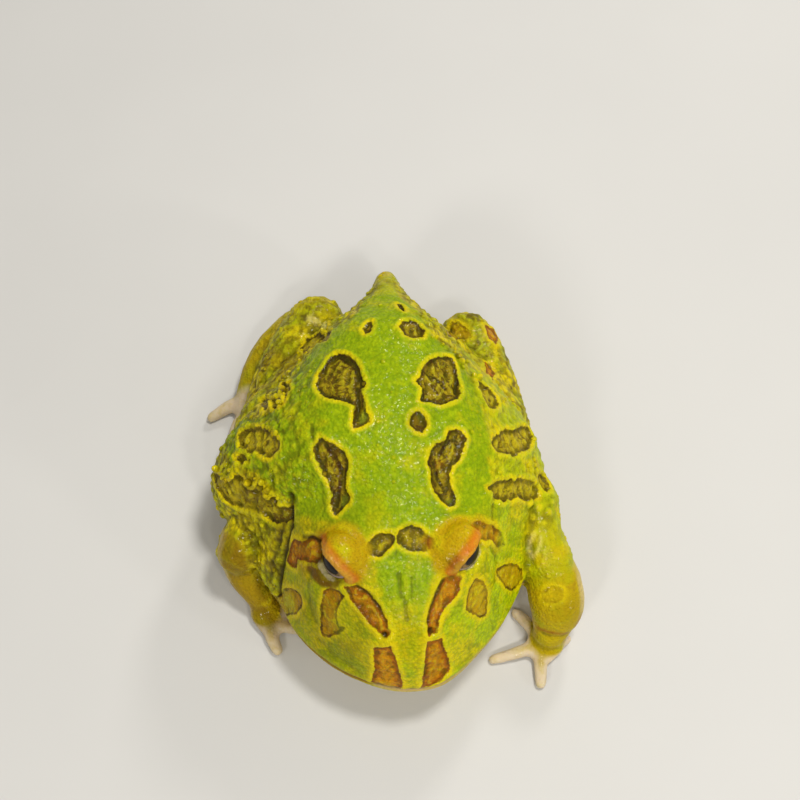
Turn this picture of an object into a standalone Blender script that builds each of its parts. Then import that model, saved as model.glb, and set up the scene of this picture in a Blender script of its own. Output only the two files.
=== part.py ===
"""Argentine horned frog, a still life-size figure that sits on its belly with its legs folded.

The frog looks along -Y, its left side is +X, and it stands on the plane z = 0.
Every length in this file is in millimetres until MM turns it into metres.
"""
import bmesh
import bpy
import numpy as np
from mathutils import Matrix, Vector

# Driving dimensions.
MM = 0.001
GAP = 0.3                     # space between two neighbouring nodes
SNOUT_Y = -42.5               # front of the lips, so that snout to vent is 85 mm
NECK_Y = -13.0                # the plane that parts the head from the trunk
EYE_RADIUS = 4.3
EYE_CENTRES = {"right": (-9.8, -22.4, 27.2), "left": (9.1, -21.9, 27.2)}
EYE_LOOK = (0.78, -0.50, -0.30)   # the way that the open side of the lids faces
LID_DEPTH = 2.1               # how far the lid's edge lies out from the eye's centre
NOSTRIL = (4.1, -36.2, 23.2)
NOSTRIL_RADIUS = 0.85         # at the rim; the pit narrows to a third of it
LIP_GROOVE = 0.75             # depth of the furrow between the lips
COLUMNS_UP = 11               # columns of the body from the spine to the mouth line
COLUMNS_DOWN = 8              # and from there to the middle of the belly

# Stations of the body, from the vent to the snout.
# y, top, right edge, left edge, share of the width at the back's edge, its height,
# height of the widest line, share of the width at the belly's edge, its height, bottom
STATIONS = [
    (42.6, 15.6, -0.9, 1.0, 0.70, 15.2, 14.4, 0.70, 13.6, 13.2),
    (42.2, 17.0, -1.7, 1.8, 0.70, 16.2, 14.2, 0.70, 12.0, 11.4),
    (41.0, 19.2, -2.5, 2.5, 0.70, 17.6, 13.8, 0.70, 10.2, 9.2),
    (39.0, 21.9, -3.1, 2.9, 0.68, 19.4, 13.4, 0.68, 8.4, 7.0),
    (36.5, 24.6, -3.7, 3.3, 0.70, 21.2, 13.0, 0.66, 6.4, 4.8),
    (33.0, 27.6, -5.3, 4.7, 0.74, 23.0, 12.6, 0.66, 4.6, 2.4),
    (29.0, 30.6, -8.6, 7.4, 0.78, 24.4, 12.4, 0.66, 3.4, 0.2),
    (24.0, 33.4, -14.0, 12.2, 0.82, 25.6, 12.6, 0.68, 2.8, -1.0),
    (18.0, 35.7, -19.6, 16.8, 0.82, 26.4, 13.0, 0.70, 2.6, -1.3),
    (12.0, 37.1, -25.6, 21.6, 0.80, 27.0, 13.4, 0.70, 2.6, -1.4),
    (6.0, 37.9, -31.2, 25.4, 0.78, 27.4, 13.8, 0.70, 2.6, -1.5),
    (0.0, 37.7, -34.3, 27.2, 0.76, 27.6, 14.0, 0.70, 2.6, -1.5),
    (-5.0, 36.7, -34.6, 27.7, 0.75, 27.4, 13.8, 0.72, 2.5, -1.5),
    (-9.0, 35.4, -31.9, 27.0, 0.74, 27.0, 13.0, 0.74, 2.4, -1.5),
    (-13.0, 34.0, -27.8, 25.6, 0.70, 27.0, 12.0, 0.76, 2.4, -1.4),
    (-18.0, 32.7, -25.8, 23.9, 0.60, 27.9, 11.3, 0.76, 2.8, -1.2),
    (-22.0, 31.7, -24.3, 22.4, 0.545, 28.1, 11.2, 0.75, 3.3, -0.8),
    (-26.0, 30.4, -22.4, 20.8, 0.52, 27.2, 11.3, 0.74, 4.0, 0.4),
    (-30.0, 28.7, -20.6, 18.5, 0.49, 25.8, 11.6, 0.72, 5.0, 1.8),
    (-34.0, 26.3, -17.4, 15.5, 0.46, 23.7, 11.9, 0.70, 6.2, 3.6),
    (-37.5, 23.7, -13.4, 12.0, 0.46, 21.4, 12.2, 0.68, 7.6, 5.8),
    (-40.0, 20.6, -9.3, 9.2, 0.48, 18.7, 12.5, 0.68, 9.2, 8.0),
    (-41.5, 17.8, -6.0, 6.9, 0.52, 16.4, 12.7, 0.68, 10.4, 9.6),
    (-42.3, 15.3, -3.2, 4.7, 0.56, 14.6, 12.8, 0.68, 11.5, 11.1),
    (-42.6, 13.6, -1.2, 2.9, 0.60, 13.4, 12.8, 0.66, 12.3, 12.1),
]

# Where the rings of the body lie, closer together at both ends.
RINGS = [
    42.6, 42.2, 41.2, 39.6, 37.4, 34.8, 32.0, 29.2, 26.4, 23.6, 20.8, 18.0, 15.2, 12.4, 9.6, 6.8,
    4.0, 1.2, -1.6, -4.2, -6.8, -9.2, -11.6, -14.0, -16.4, -18.8, -21.2, -23.6, -26.0, -28.4,
    -30.8, -33.0, -35.2, -37.2, -39.0, -40.4, -41.5, -42.2, -42.6,
]

# Swellings and hollows of the body: middle, reach, height.
SWELLINGS = [
    ((-4.1, -36.0, 23.6), 2.2, 0.55),
    ((4.1, -36.0, 23.6), 2.2, 0.55),
    ((0.0, -37.5, 22.8), 2.0, -0.25),
    ((0.0, -23.5, 31.0), 4.2, -0.9),
    ((-9.2, -29.5, 26.6), 3.0, 0.5),
    ((9.2, -29.5, 26.6), 3.0, 0.5),
    ((-15.6, -26.2, 23.6), 2.6, 1.0),
    ((14.6, -25.6, 24.0), 2.6, 1.0),
    ((-15.0, -17.0, 27.6), 4.0, 0.9),
    ((15.0, -17.0, 27.6), 4.0, 0.9),
    ((-25.6, -17.5, 11.5), 5.0, 0.9),
    ((23.8, -17.5, 11.5), 5.0, 0.9),
    ((-17.0, -4.0, 32.0), 6.5, 0.9),
    ((14.0, -4.0, 32.0), 6.5, 0.9),
    ((-7.5, 19.0, 34.5), 6.0, 0.9),
    ((5.0, 19.0, 34.5), 6.0, 0.9),
    ((-1.6, 26.0, 32.0), 4.5, -0.5),
    ((-2.4, 2.0, 38.0), 5.0, -0.5),
    ((-30.0, 3.0, 18.0), 7.0, 0.8),
    ((25.0, 1.0, 18.0), 7.0, 0.6),
]


def clear_scene():
    for thing in list(bpy.data.objects):
        bpy.data.objects.remove(thing, do_unlink=True)


clear_scene()
PARTS = bpy.data.collections.new("argentine_horned_frog")
CUTTERS = bpy.data.collections.new("cutters")
bpy.context.scene.collection.children.link(PARTS)
bpy.context.scene.collection.children.link(CUTTERS)


def material(name, colour, roughness):
    """A plain surface for one sub-part."""
    made = bpy.data.materials.new(name)
    made.use_nodes = True
    shader = made.node_tree.nodes["Principled BSDF"]
    shader.inputs["Base Color"].default_value = (*colour, 1.0)
    shader.inputs["Roughness"].default_value = roughness
    return made


def add_object(name, mesh, collection=CUTTERS):
    thing = bpy.data.objects.new(name, mesh)
    collection.objects.link(thing)
    if collection is CUTTERS:
        thing.hide_render = True
        thing.display_type = "WIRE"
    return thing


def mesh_from(name, points, faces):
    """A mesh from points in millimetres, with its faces turned outwards."""
    mesh = bpy.data.meshes.new(name)
    mesh.from_pydata([tuple(p) for p in np.asarray(points, float) * MM], [], faces)
    work = bmesh.new()
    work.from_mesh(mesh)
    bmesh.ops.recalc_face_normals(work, faces=work.faces)
    work.to_mesh(mesh)
    work.free()
    return mesh


def loft(name, rings):
    """A closed body through rings of points; each end is drawn to a point in its middle."""
    count = len(rings[0])
    points = [p for ring in rings for p in ring]
    faces = []
    for i in range(len(rings) - 1):
        for j in range(count):
            k = (j + 1) % count
            a = i * count
            b = a + count
            faces.append((a + j, a + k, b + k, b + j))
    last = (len(rings) - 1) * count
    points.append(np.mean(rings[0], axis=0))
    points.append(np.mean(rings[-1], axis=0))
    tail = len(points) - 2
    for j in range(count):
        k = (j + 1) % count
        faces.append((tail, k, j))
        faces.append((tail + 1, last + j, last + k))
    return add_object(name, mesh_from(name, points, faces))


def through(knots, values, at):
    """Values at places between knots, on a curve without corners."""
    knots = np.asarray(knots, float)
    values = np.asarray(values, float)
    slopes = np.gradient(values, knots, axis=0)
    place = np.clip(np.searchsorted(knots, at, side="right") - 1, 0, len(knots) - 2)
    width = knots[place + 1] - knots[place]
    t = (np.asarray(at, float) - knots[place]) / width
    if values.ndim > 1:
        t = t[:, None]
        width = width[:, None]
    first = (1 + 2 * t) * (1 - t) ** 2 * values[place]
    rise = t * (1 - t) ** 2 * width * slopes[place]
    second = t ** 2 * (3 - 2 * t) * values[place + 1]
    fall = t ** 2 * (t - 1) * width * slopes[place + 1]
    return first + rise + second + fall


def even(line, count):
    """The same line with a chosen number of points at even distances."""
    steps = np.linalg.norm(np.diff(line, axis=0), axis=1)
    far = np.concatenate([[0.0], np.cumsum(steps)])
    wanted = np.linspace(0.0, far[-1], count)
    return np.stack([np.interp(wanted, far, line[:, i]) for i in range(line.shape[1])], 1)


def half_section(width, top, edge, edge_z, wide_z, low, low_z, bottom):
    """One side of a section from the spine down to the middle of the belly, as x and z."""
    middle_x = (edge + width) / 2 + 0.05 * width
    middle_z = (edge_z + wide_z) / 2 + 0.06 * (edge_z - wide_z)
    knots = np.array([
        (-0.5 * edge, top - 0.20 * (top - edge_z)),
        (0.0, top),
        (0.5 * edge, top - 0.20 * (top - edge_z)),
        (edge, edge_z),
        (middle_x, middle_z),
        (width, wide_z),
        (low, low_z),
        (0.5 * low, bottom + 0.12 * (low_z - bottom)),
        (0.0, bottom),
        (-0.5 * low, bottom + 0.12 * (low_z - bottom)),
    ])
    far = np.concatenate([[0.0], np.cumsum(np.linalg.norm(np.diff(knots, axis=0), axis=1))])
    upper = through(far, knots, np.linspace(far[1], far[5], 200))
    lower = through(far, knots, np.linspace(far[5], far[8], 200))
    return even(upper, COLUMNS_UP + 1), even(lower, COLUMNS_DOWN + 1)


def section(y, values):
    """A whole ring of the body at one y, with a furrow where the lips meet."""
    top, right, left, edge, edge_z, wide_z, low, low_z, bottom = values
    middle = (left + right) / 2
    width = (left - right) / 2
    upper, lower = half_section(
        width, top, edge * width, edge_z, wide_z, low * width, low_z, bottom)
    groove = LIP_GROOVE * np.clip((NECK_Y - 1.0 - y) / 5.0, 0.0, 1.0)
    groove *= np.clip((y + 44.5) / 2.5, 0.5, 1.0)
    share = min(1.0, width / 6.0)
    lips = []
    for rise, inward in ((1.5, 0.0), (0.7, 0.15), (0.0, 1.0), (-0.7, 0.15), (-1.5, 0.0)):
        line = upper[::-1] if rise > 0 else lower
        steps = np.concatenate([[0.0], np.cumsum(np.linalg.norm(np.diff(line, axis=0), axis=1))])
        at = abs(rise) * share
        x = np.interp(at, steps, line[:, 0])
        z = np.interp(at, steps, line[:, 1])
        lips.append((x * (1.0 - inward * groove * share / width), z))
    up_steps = even(upper[::-1], 200)
    up_far = np.concatenate([[0.0], np.cumsum(np.linalg.norm(np.diff(up_steps, axis=0), axis=1))])
    keep = np.linspace(1.5 * share, up_far[-1], COLUMNS_UP)
    upper = np.stack([np.interp(keep, up_far, up_steps[:, i]) for i in range(2)], 1)[::-1]
    low_steps = even(lower, 200)
    low_far = np.concatenate([[0.0], np.cumsum(np.linalg.norm(np.diff(low_steps, axis=0), axis=1))])
    keep = np.linspace(1.5 * share, low_far[-1], COLUMNS_DOWN)
    lower = np.stack([np.interp(keep, low_far, low_steps[:, i]) for i in range(2)], 1)
    side = np.concatenate([upper[:-1], np.array(lips), lower[1:]])
    other = side[1:-1][::-1] * (-1.0, 1.0)
    ring = np.concatenate([side, other])
    return np.stack([middle + ring[:, 0], np.full(len(ring), y), ring[:, 1]], 1)


def make_core():
    table = np.array(STATIONS)[::-1]
    at = np.array(RINGS)
    values = through(table[:, 0], table[:, 1:], at)
    return loft("core", [section(y, row) for y, row in zip(at, values)])


def swell(thing, places):
    """Pushes the surface out or in around chosen places."""
    mesh = thing.data
    points = np.array([v.co for v in mesh.vertices]) / MM
    normals = np.array([v.normal for v in mesh.vertices])
    for middle, reach, height in places:
        away = np.linalg.norm(points - middle, axis=1)
        points = points + normals * (height * np.exp(-(away / reach) ** 2))[:, None]
    for vertex, point in zip(mesh.vertices, points):
        vertex.co = point * MM


def frames(path, up):
    """A side and an up direction for every point of a path, turned as little as possible."""
    ahead = np.gradient(path, axis=0)
    ahead /= np.linalg.norm(ahead, axis=1)[:, None]
    sides, ups = [], []
    for way in ahead:
        up = up - way * (up @ way)
        up = up / np.linalg.norm(up)
        ups.append(up)
        sides.append(np.cross(way, up))
    return ahead, np.array(sides), np.array(ups)


def tube(name, stations, around=14, along=9, up=(0.0, 0.0, 1.0)):
    """A limb through stations of x, y, z, half width and half height, with rounded ends."""
    table = np.array(stations, float)
    steps = np.linalg.norm(np.diff(table[:, :3], axis=0), axis=1)
    far = np.concatenate([[0.0], np.cumsum(steps)])
    values = through(far, table, np.linspace(0.0, far[-1], along))
    path = values[:, :3]
    ahead, sides, ups = frames(path, np.array(up, float))
    turns = np.arange(around) * 2 * np.pi / around
    rings = []

    def ring(i, shift, share):
        wide, high = values[i, 3:5] * share
        middle = path[i] + ahead[i] * shift * (values[i, 3] + values[i, 4]) / 2
        return [middle + sides[i] * wide * np.cos(t) + ups[i] * high * np.sin(t) for t in turns]

    bends = [np.radians(a) for a in (62, 32)]
    for bend in bends:
        rings.append(ring(0, -np.sin(bend), np.cos(bend)))
    for i in range(along):
        rings.append(ring(i, 0.0, 1.0))
    for bend in bends[::-1]:
        rings.append(ring(along - 1, np.sin(bend), np.cos(bend)))
    return loft(name, rings)


def digit(name, stations):
    """A finger or a toe: a curve with a bevel, thinner towards its rounded tip."""
    table = np.array([(x, y, z, wide) for x, y, z, wide, _ in stations], float)
    steps = np.linalg.norm(np.diff(table[:, :3], axis=0), axis=1)
    far = np.concatenate([[0.0], np.cumsum(steps)])
    values = through(far, table, np.linspace(0.0, far[-1], 6))
    tip = values[-1]
    ahead = (values[-1, :3] - values[-2, :3]) / np.linalg.norm(values[-1, :3] - values[-2, :3])
    ends = []
    for bend in (35, 65):
        turn = np.radians(bend)
        place = tip[:3] + ahead * tip[3] * np.sin(turn)
        ends.append((*place, tip[3] * np.cos(turn)))
    values = np.concatenate([values, ends])
    data = bpy.data.curves.new(name, "CURVE")
    data.dimensions = "3D"
    data.bevel_depth = MM
    data.bevel_resolution = 2
    data.use_fill_caps = True
    spline = data.splines.new("POLY")
    spline.points.add(len(values) - 1)
    for point, value in zip(spline.points, values):
        point.co = (*(value[:3] * MM), 1.0)
        point.radius = value[3]
    curve = bpy.data.objects.new(name + "_curve", data)
    CUTTERS.objects.link(curve)
    bpy.context.view_layer.update()
    shaped = curve.evaluated_get(bpy.context.evaluated_depsgraph_get())
    mesh = bpy.data.meshes.new_from_object(shaped)
    bpy.data.objects.remove(curve, do_unlink=True)
    work = bmesh.new()
    work.from_mesh(mesh)
    bmesh.ops.remove_doubles(work, verts=work.verts, dist=0.001 * MM)
    bmesh.ops.recalc_face_normals(work, faces=work.faces)
    work.to_mesh(mesh)
    work.free()
    return add_object(name, mesh)


def block(name, low, high):
    """A box between two corners."""
    low, high = np.array(low, float), np.array(high, float)
    middle = (low + high) / 2
    work = bmesh.new()
    size = Matrix.Diagonal((*((high - low) * MM), 1.0))
    bmesh.ops.create_cube(work, size=1.0, matrix=Matrix.Translation(middle * MM) @ size)
    mesh = bpy.data.meshes.new(name)
    work.to_mesh(mesh)
    work.free()
    return add_object(name, mesh)


def ball(name, centre, radii, columns=20, rings=14, look=(0.0, 0.0, 1.0)):
    """A sphere or an ellipsoid; its poles lie along look."""
    turn = Vector(look).to_track_quat("Z", "Y").to_matrix().to_4x4()
    size = Matrix.Diagonal((*(np.array(radii, float) * MM), 1.0))
    place = Matrix.Translation(Vector(centre) * MM)
    work = bmesh.new()
    bmesh.ops.create_uvsphere(
        work, u_segments=columns, v_segments=rings, radius=1.0, matrix=place @ turn @ size)
    mesh = bpy.data.meshes.new(name)
    work.to_mesh(mesh)
    work.free()
    return add_object(name, mesh)


def cone(name, base, tip, base_radius, tip_radius, sides=12):
    """A tapered plug from one point to another."""
    base, tip = Vector(base), Vector(tip)
    way = tip - base
    turn = way.to_track_quat("Z", "Y").to_matrix().to_4x4()
    place = Matrix.Translation((base + tip) / 2 * MM)
    work = bmesh.new()
    bmesh.ops.create_cone(
        work, cap_ends=True, segments=sides, radius1=base_radius * MM, radius2=tip_radius * MM,
        depth=way.length * MM, matrix=place @ turn)
    mesh = bpy.data.meshes.new(name)
    work.to_mesh(mesh)
    work.free()
    return add_object(name, mesh)


def copy_of(thing, name):
    return add_object(name, thing.data.copy())


def grown(thing, by=GAP):
    """A copy whose surface lies further out everywhere."""
    made = copy_of(thing, thing.name + "_grown")
    work = bmesh.new()
    work.from_mesh(made.data)
    work.normal_update()
    moves = [(v, v.normal.copy() * v.calc_shell_factor()) for v in work.verts]
    for vertex, move in moves:
        if move.length > 1.6:
            move = move.normalized() * 1.6
        vertex.co += move * by * MM
    work.to_mesh(made.data)
    work.free()
    return made


def largest_piece(mesh):
    """Keeps the biggest closed surface of a mesh and drops every crumb."""
    work = bmesh.new()
    work.from_mesh(mesh)
    left = set(work.verts)
    groups = []
    while left:
        start = left.pop()
        group = {start}
        edge_of_search = [start]
        while edge_of_search:
            vertex = edge_of_search.pop()
            for edge in vertex.link_edges:
                other = edge.other_vert(vertex)
                if other in left:
                    left.discard(other)
                    group.add(other)
                    edge_of_search.append(other)
        groups.append(group)
    groups.sort(key=len, reverse=True)
    sizes = []
    for group in groups:
        faces = {f for v in group for f in v.link_faces}
        area = sum(f.calc_area() for f in faces)
        sizes.append(area)
    best = groups[int(np.argmax(sizes))]
    bmesh.ops.delete(work, geom=[v for v in work.verts if v not in best], context="VERTS")
    work.to_mesh(mesh)
    work.free()


def volume_of(mesh):
    """The volume inside a mesh, or 0 where the mesh isn't closed."""
    work = bmesh.new()
    work.from_mesh(mesh)
    closed = len(work.faces) > 3 and all(edge.is_manifold for edge in work.edges)
    volume = work.calc_volume() / MM ** 3 if closed else 0.0
    work.free()
    return volume


def combine(thing, others, kind="DIFFERENCE"):
    """Cuts, joins or overlaps one body with others, for good."""
    for other in others:
        before = volume_of(thing.data)
        for solver in ("EXACT", "MANIFOLD"):
            step = thing.modifiers.new("step", "BOOLEAN")
            step.operation = kind
            step.solver = solver
            step.object = other
            bpy.context.view_layer.update()
            shaped = thing.evaluated_get(bpy.context.evaluated_depsgraph_get())
            mesh = bpy.data.meshes.new_from_object(shaped)
            thing.modifiers.remove(step)
            largest_piece(mesh)
            after = volume_of(mesh)
            if after > 0.05 * before and abs(after - before) > 1e-4 * before:
                break
        if after > 0.0:
            thing.data = mesh
    return thing


def drop(*things):
    for thing in things:
        bpy.data.objects.remove(thing, do_unlink=True)


def tidy(mesh):
    """Merges points that lie too close together, as far as the body stays closed."""
    for shortest in (0.05, 0.02, 0.005, 0.001):
        work = bmesh.new()
        work.from_mesh(mesh)
        bmesh.ops.remove_doubles(work, verts=work.verts, dist=shortest * MM)
        bmesh.ops.dissolve_degenerate(work, edges=work.edges, dist=shortest * MM)
        bmesh.ops.triangulate(work, faces=work.faces)
        bmesh.ops.recalc_face_normals(work, faces=work.faces)
        closed = all(edge.is_manifold for edge in work.edges)
        closed = closed and all(vertex.is_manifold for vertex in work.verts)
        if closed:
            work.to_mesh(mesh)
            work.free()
            return
        work.free()


def finish(thing, name, colour, roughness=0.45):
    """Names a sub-part, gives it its material and moves it among the parts."""
    tidy(thing.data)
    largest_piece(thing.data)
    thing.name = name
    thing.data.name = name
    thing.data.materials.clear()
    thing.data.materials.append(material(name + "_surface", colour, roughness))
    for face in thing.data.polygons:
        face.use_smooth = True
    CUTTERS.objects.unlink(thing)
    PARTS.objects.link(thing)
    thing.hide_render = False
    thing.display_type = "TEXTURED"
    return thing


BACK = (0.20, 0.42, 0.02)
FLANK = (0.36, 0.36, 0.05)
LIMB = (0.44, 0.40, 0.06)
PALE = (0.66, 0.58, 0.36)
LID = (0.52, 0.40, 0.06)
EYE = (0.05, 0.04, 0.02)

FLOOR = block("under_floor", (-80, -80, -20), (80, 80, 0))

# The body is one loft, which is then parted at the neck and along the mouth line.
core = make_core()
swell(core, SWELLINGS)
combine(core, [FLOOR])


def mouth_height(y):
    table = np.array(STATIONS)[::-1]
    return float(through(table[:, 0], table[:, 6], np.array([y]))[0])


def in_front(name, low, high):
    """A block that reaches across the whole head between two planes."""
    return block(name, (-60, low, -30), (60, high, 60))


torso = copy_of(core, "torso_work")
front_block = in_front("front_block", -90, NECK_Y + GAP / 2)
combine(torso, [front_block])

whole_head = copy_of(core, "head_work")
back_block = in_front("back_block", NECK_Y - GAP / 2, 90)
combine(whole_head, [back_block])


def half_space(name, above):
    """Everything above or below the mouth line in front of the neck."""
    rings = []
    edge = GAP / 2 if above else -GAP / 2
    for y in np.linspace(NECK_Y + 4.0, -50.0, 32):
        z = mouth_height(min(max(y, SNOUT_Y), 40.0)) + edge
        if above:
            rings.append([(-60, y, z), (60, y, z), (60, y, 80), (-60, y, 80)])
        else:
            rings.append([(-60, y, -40), (60, y, -40), (60, y, z), (-60, y, z)])
    return loft(name, np.array(rings, float))


head = copy_of(whole_head, "upper_head_work")
combine(head, [half_space("over_mouth", True)], "INTERSECT")
jaw = copy_of(whole_head, "lower_jaw_work")
combine(jaw, [half_space("under_mouth", False)], "INTERSECT")

# Eyes in sockets, each under a thick upper lid that rises to a low horn.
eyes = []
lids = []
for word, side in (("right", -1), ("left", 1)):
    centre = np.array(EYE_CENTRES[word])
    look = np.array(EYE_LOOK) * (side, 1, 1)
    look /= np.linalg.norm(look)
    eye = ball("eye_work", centre, [EYE_RADIUS] * 3, 20, 14, look)
    socket = ball("socket_work", centre, [EYE_RADIUS + GAP] * 3, 20, 14, look)
    combine(head, [socket])
    along = np.array((look[0], look[1], 0.0))
    lid = ball("lid_work", centre + (side * 0.3, -0.5, 1.0), (5.2, 4.6, 4.9), 20, 14, along)
    points = np.array([v.co for v in lid.data.vertices]) / MM
    horn = centre + (side * 1.4, 0.4, 5.7)
    away = np.linalg.norm(points - horn, axis=1)
    points = points + np.exp(-(away / 2.6) ** 2)[:, None] * np.array([side * 0.4, 0.3, 1.0])
    for vertex, point in zip(lid.data.vertices, points):
        vertex.co = Vector(point) * MM
    wall = block("wall_work", (-30, -30, LID_DEPTH), (30, 30, 60))
    turn = Vector(look).to_track_quat("Z", "Y").to_matrix().to_4x4()
    wall.data.transform(Matrix.Translation(Vector(centre) * MM) @ turn)
    combine(lid, [wall, socket, grown(head)])
    eyes.append(eye)
    lids.append(lid)

# Nostrils, which narrow inwards.
for side in (-1, 1):
    place = np.array(NOSTRIL) * (side, 1, 1)
    inward = np.array((side * -0.45, 0.50, -0.75))
    combine(head, [cone("nostril_work", place - inward * 1.6, place + inward * 1.9,
                        NOSTRIL_RADIUS, NOSTRIL_RADIUS * 0.36)])

torso_grown = grown(torso)
head_grown = grown(head)
jaw_grown = grown(jaw)


def limb(name, stations, near, around=16, along=9, up=(0.0, 0.0, 1.0)):
    """A limb that stops short of the floor and of its neighbours."""
    made = tube(name, stations, around, along, up)
    combine(made, [FLOOR] + near)
    return made


# Hind legs: the thigh runs forward from the hip, the shank back to the heel.
RIGHT_THIGH = [
    (-8.5, 28.5, 12.0, 6.0, 6.4), (-12.6, 22.5, 12.6, 7.0, 7.0),
    (-18.2, 15.5, 12.6, 7.6, 7.6), (-24.0, 9.6, 12.0, 7.4, 7.2)]
RIGHT_SHANK = [
    (-14.6, 35.8, 7.8, 6.0, 6.4), (-18.9, 28.8, 8.0, 6.0, 6.6),
    (-22.0, 20.5, 8.2, 6.2, 6.8), (-24.4, 11.5, 8.0, 6.4, 6.8)]
LEFT_THIGH = [
    (8.0, 26.0, 12.0, 5.8, 6.2), (11.4, 20.6, 12.6, 6.6, 6.8),
    (15.4, 14.4, 12.6, 7.2, 7.4), (19.4, 8.6, 12.0, 7.0, 7.0)]
LEFT_SHANK = [
    (15.9, 30.4, 7.6, 6.0, 6.3), (18.0, 24.4, 8.0, 5.9, 6.5),
    (19.4, 17.6, 8.2, 6.1, 6.7), (20.4, 10.4, 8.0, 6.2, 6.6)]

thigh_right = limb("thigh_right_work", RIGHT_THIGH, [torso_grown])
shank_right = limb("shank_right_work", RIGHT_SHANK, [torso_grown, grown(thigh_right)])
thigh_left = limb("thigh_left_work", LEFT_THIGH, [torso_grown])
shank_left = limb("shank_left_work", LEFT_SHANK, [torso_grown, grown(thigh_left)])


def paw(name, root, digits, near):
    """A palm or a sole with its digits, as one body."""
    made = tube(name, root, 14, 7)
    combine(made, [digit(name + "_digit", d) for d in digits], "UNION")
    combine(made, [FLOOR] + near)
    return made


RIGHT_SOLE = [
    (-18.6, 37.6, 4.6, 3.9, 4.2), (-23.4, 32.6, 4.6, 3.9, 4.2),
    (-26.8, 26.6, 4.0, 3.7, 3.8), (-28.4, 20.6, 2.2, 3.6, 2.4)]
RIGHT_TOES = [
    [(-28.0, 22.6, 1.7, 1.9, 1.9), (-32.6, 21.6, 1.4, 1.5, 1.5), (-36.6, 19.4, 1.0, 1.05, 1.1)],
    [(-28.6, 20.6, 1.6, 1.7, 1.7), (-31.6, 16.4, 1.3, 1.4, 1.4), (-32.2, 11.4, 0.9, 1.0, 1.0)],
    [(-28.2, 19.4, 1.6, 1.6, 1.6), (-29.4, 14.4, 1.3, 1.3, 1.3), (-28.8, 9.8, 0.9, 1.0, 1.0)],
    [(-27.2, 19.0, 1.5, 1.5, 1.5), (-26.4, 14.0, 1.2, 1.2, 1.2), (-25.6, 10.4, 0.9, 0.95, 0.95)],
]
LEFT_SOLE = [
    (18.2, 31.4, 4.2, 3.6, 3.9), (20.8, 26.6, 4.0, 3.6, 3.8),
    (21.8, 20.6, 3.2, 3.5, 3.2), (22.0, 14.8, 2.0, 3.4, 2.2)]
LEFT_TOES = [
    [(22.6, 15.6, 1.6, 1.7, 1.7), (25.4, 11.6, 1.3, 1.4, 1.4), (26.2, 7.2, 0.9, 1.0, 1.0)],
    [(22.2, 14.6, 1.6, 1.7, 1.7), (23.6, 9.4, 1.3, 1.4, 1.4), (23.6, 3.8, 0.9, 1.0, 1.0)],
    [(21.4, 14.0, 1.6, 1.6, 1.6), (21.0, 8.8, 1.3, 1.3, 1.3), (20.4, 5.0, 0.9, 1.0, 1.0)],
]
foot_right = paw(
    "foot_right_work", RIGHT_SOLE, RIGHT_TOES,
    [torso_grown, grown(thigh_right), grown(shank_right)])
foot_left = paw(
    "foot_left_work", LEFT_SOLE, LEFT_TOES,
    [torso_grown, grown(thigh_left), grown(shank_left)])

# Arms: the right elbow is tucked in, the left one stands out.
RIGHT_UPPER_ARM = [
    (-25.4, -8.2, 13.2, 5.0, 5.6), (-27.6, -10.9, 12.0, 5.1, 5.6), (-29.6, -13.6, 10.6, 4.8, 5.4)]
RIGHT_FOREARM = [
    (-29.9, -12.8, 7.6, 4.6, 4.8), (-28.8, -16.4, 6.2, 4.2, 4.2), (-26.8, -20.4, 3.9, 2.9, 3.0)]
LEFT_UPPER_ARM = [
    (25.2, -8.0, 13.4, 4.9, 5.6), (25.4, -13.8, 12.6, 4.8, 5.4), (27.2, -19.8, 11.4, 4.8, 5.3)]
LEFT_FOREARM = [
    (28.0, -22.0, 10.0, 5.2, 5.4), (28.4, -26.6, 8.0, 5.2, 5.4), (27.2, -30.2, 4.4, 3.4, 3.5)]
trunk = [torso_grown, head_grown, jaw_grown]
upper_arm_right = limb("upper_arm_right_work", RIGHT_UPPER_ARM, trunk)
forearm_right = limb("forearm_right_work", RIGHT_FOREARM, trunk + [grown(upper_arm_right)])
upper_arm_left = limb("upper_arm_left_work", LEFT_UPPER_ARM, trunk)
forearm_left = limb("forearm_left_work", LEFT_FOREARM, trunk + [grown(upper_arm_left)])

RIGHT_PALM = [
    (-26.4, -20.8, 2.4, 2.7, 2.6), (-25.9, -23.2, 1.9, 3.0, 2.1), (-25.2, -25.2, 1.5, 2.5, 1.5)]
RIGHT_FINGERS = [
    [(-25.4, -24.4, 1.4, 1.5, 1.5), (-25.0, -27.8, 1.4, 1.35, 1.4), (-24.0, -30.3, 1.0, 1.1, 1.1)],
    [(-24.6, -25.0, 1.4, 1.4, 1.4), (-21.0, -26.2, 1.3, 1.3, 1.3), (-17.6, -26.6, 0.9, 1.0, 1.0)],
    [(-24.8, -23.8, 1.4, 1.4, 1.4), (-21.2, -22.9, 1.3, 1.2, 1.2), (-18.0, -22.4, 0.9, 1.0, 1.0)],
    [(-25.4, -22.4, 1.4, 1.4, 1.4), (-22.6, -20.0, 1.3, 1.2, 1.2), (-20.4, -18.0, 0.9, 1.0, 1.0)],
]
LEFT_PALM = [
    (27.4, -29.8, 2.6, 3.0, 2.8), (26.4, -31.6, 2.0, 3.6, 2.1), (25.4, -33.2, 1.5, 3.0, 1.5)]
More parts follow.
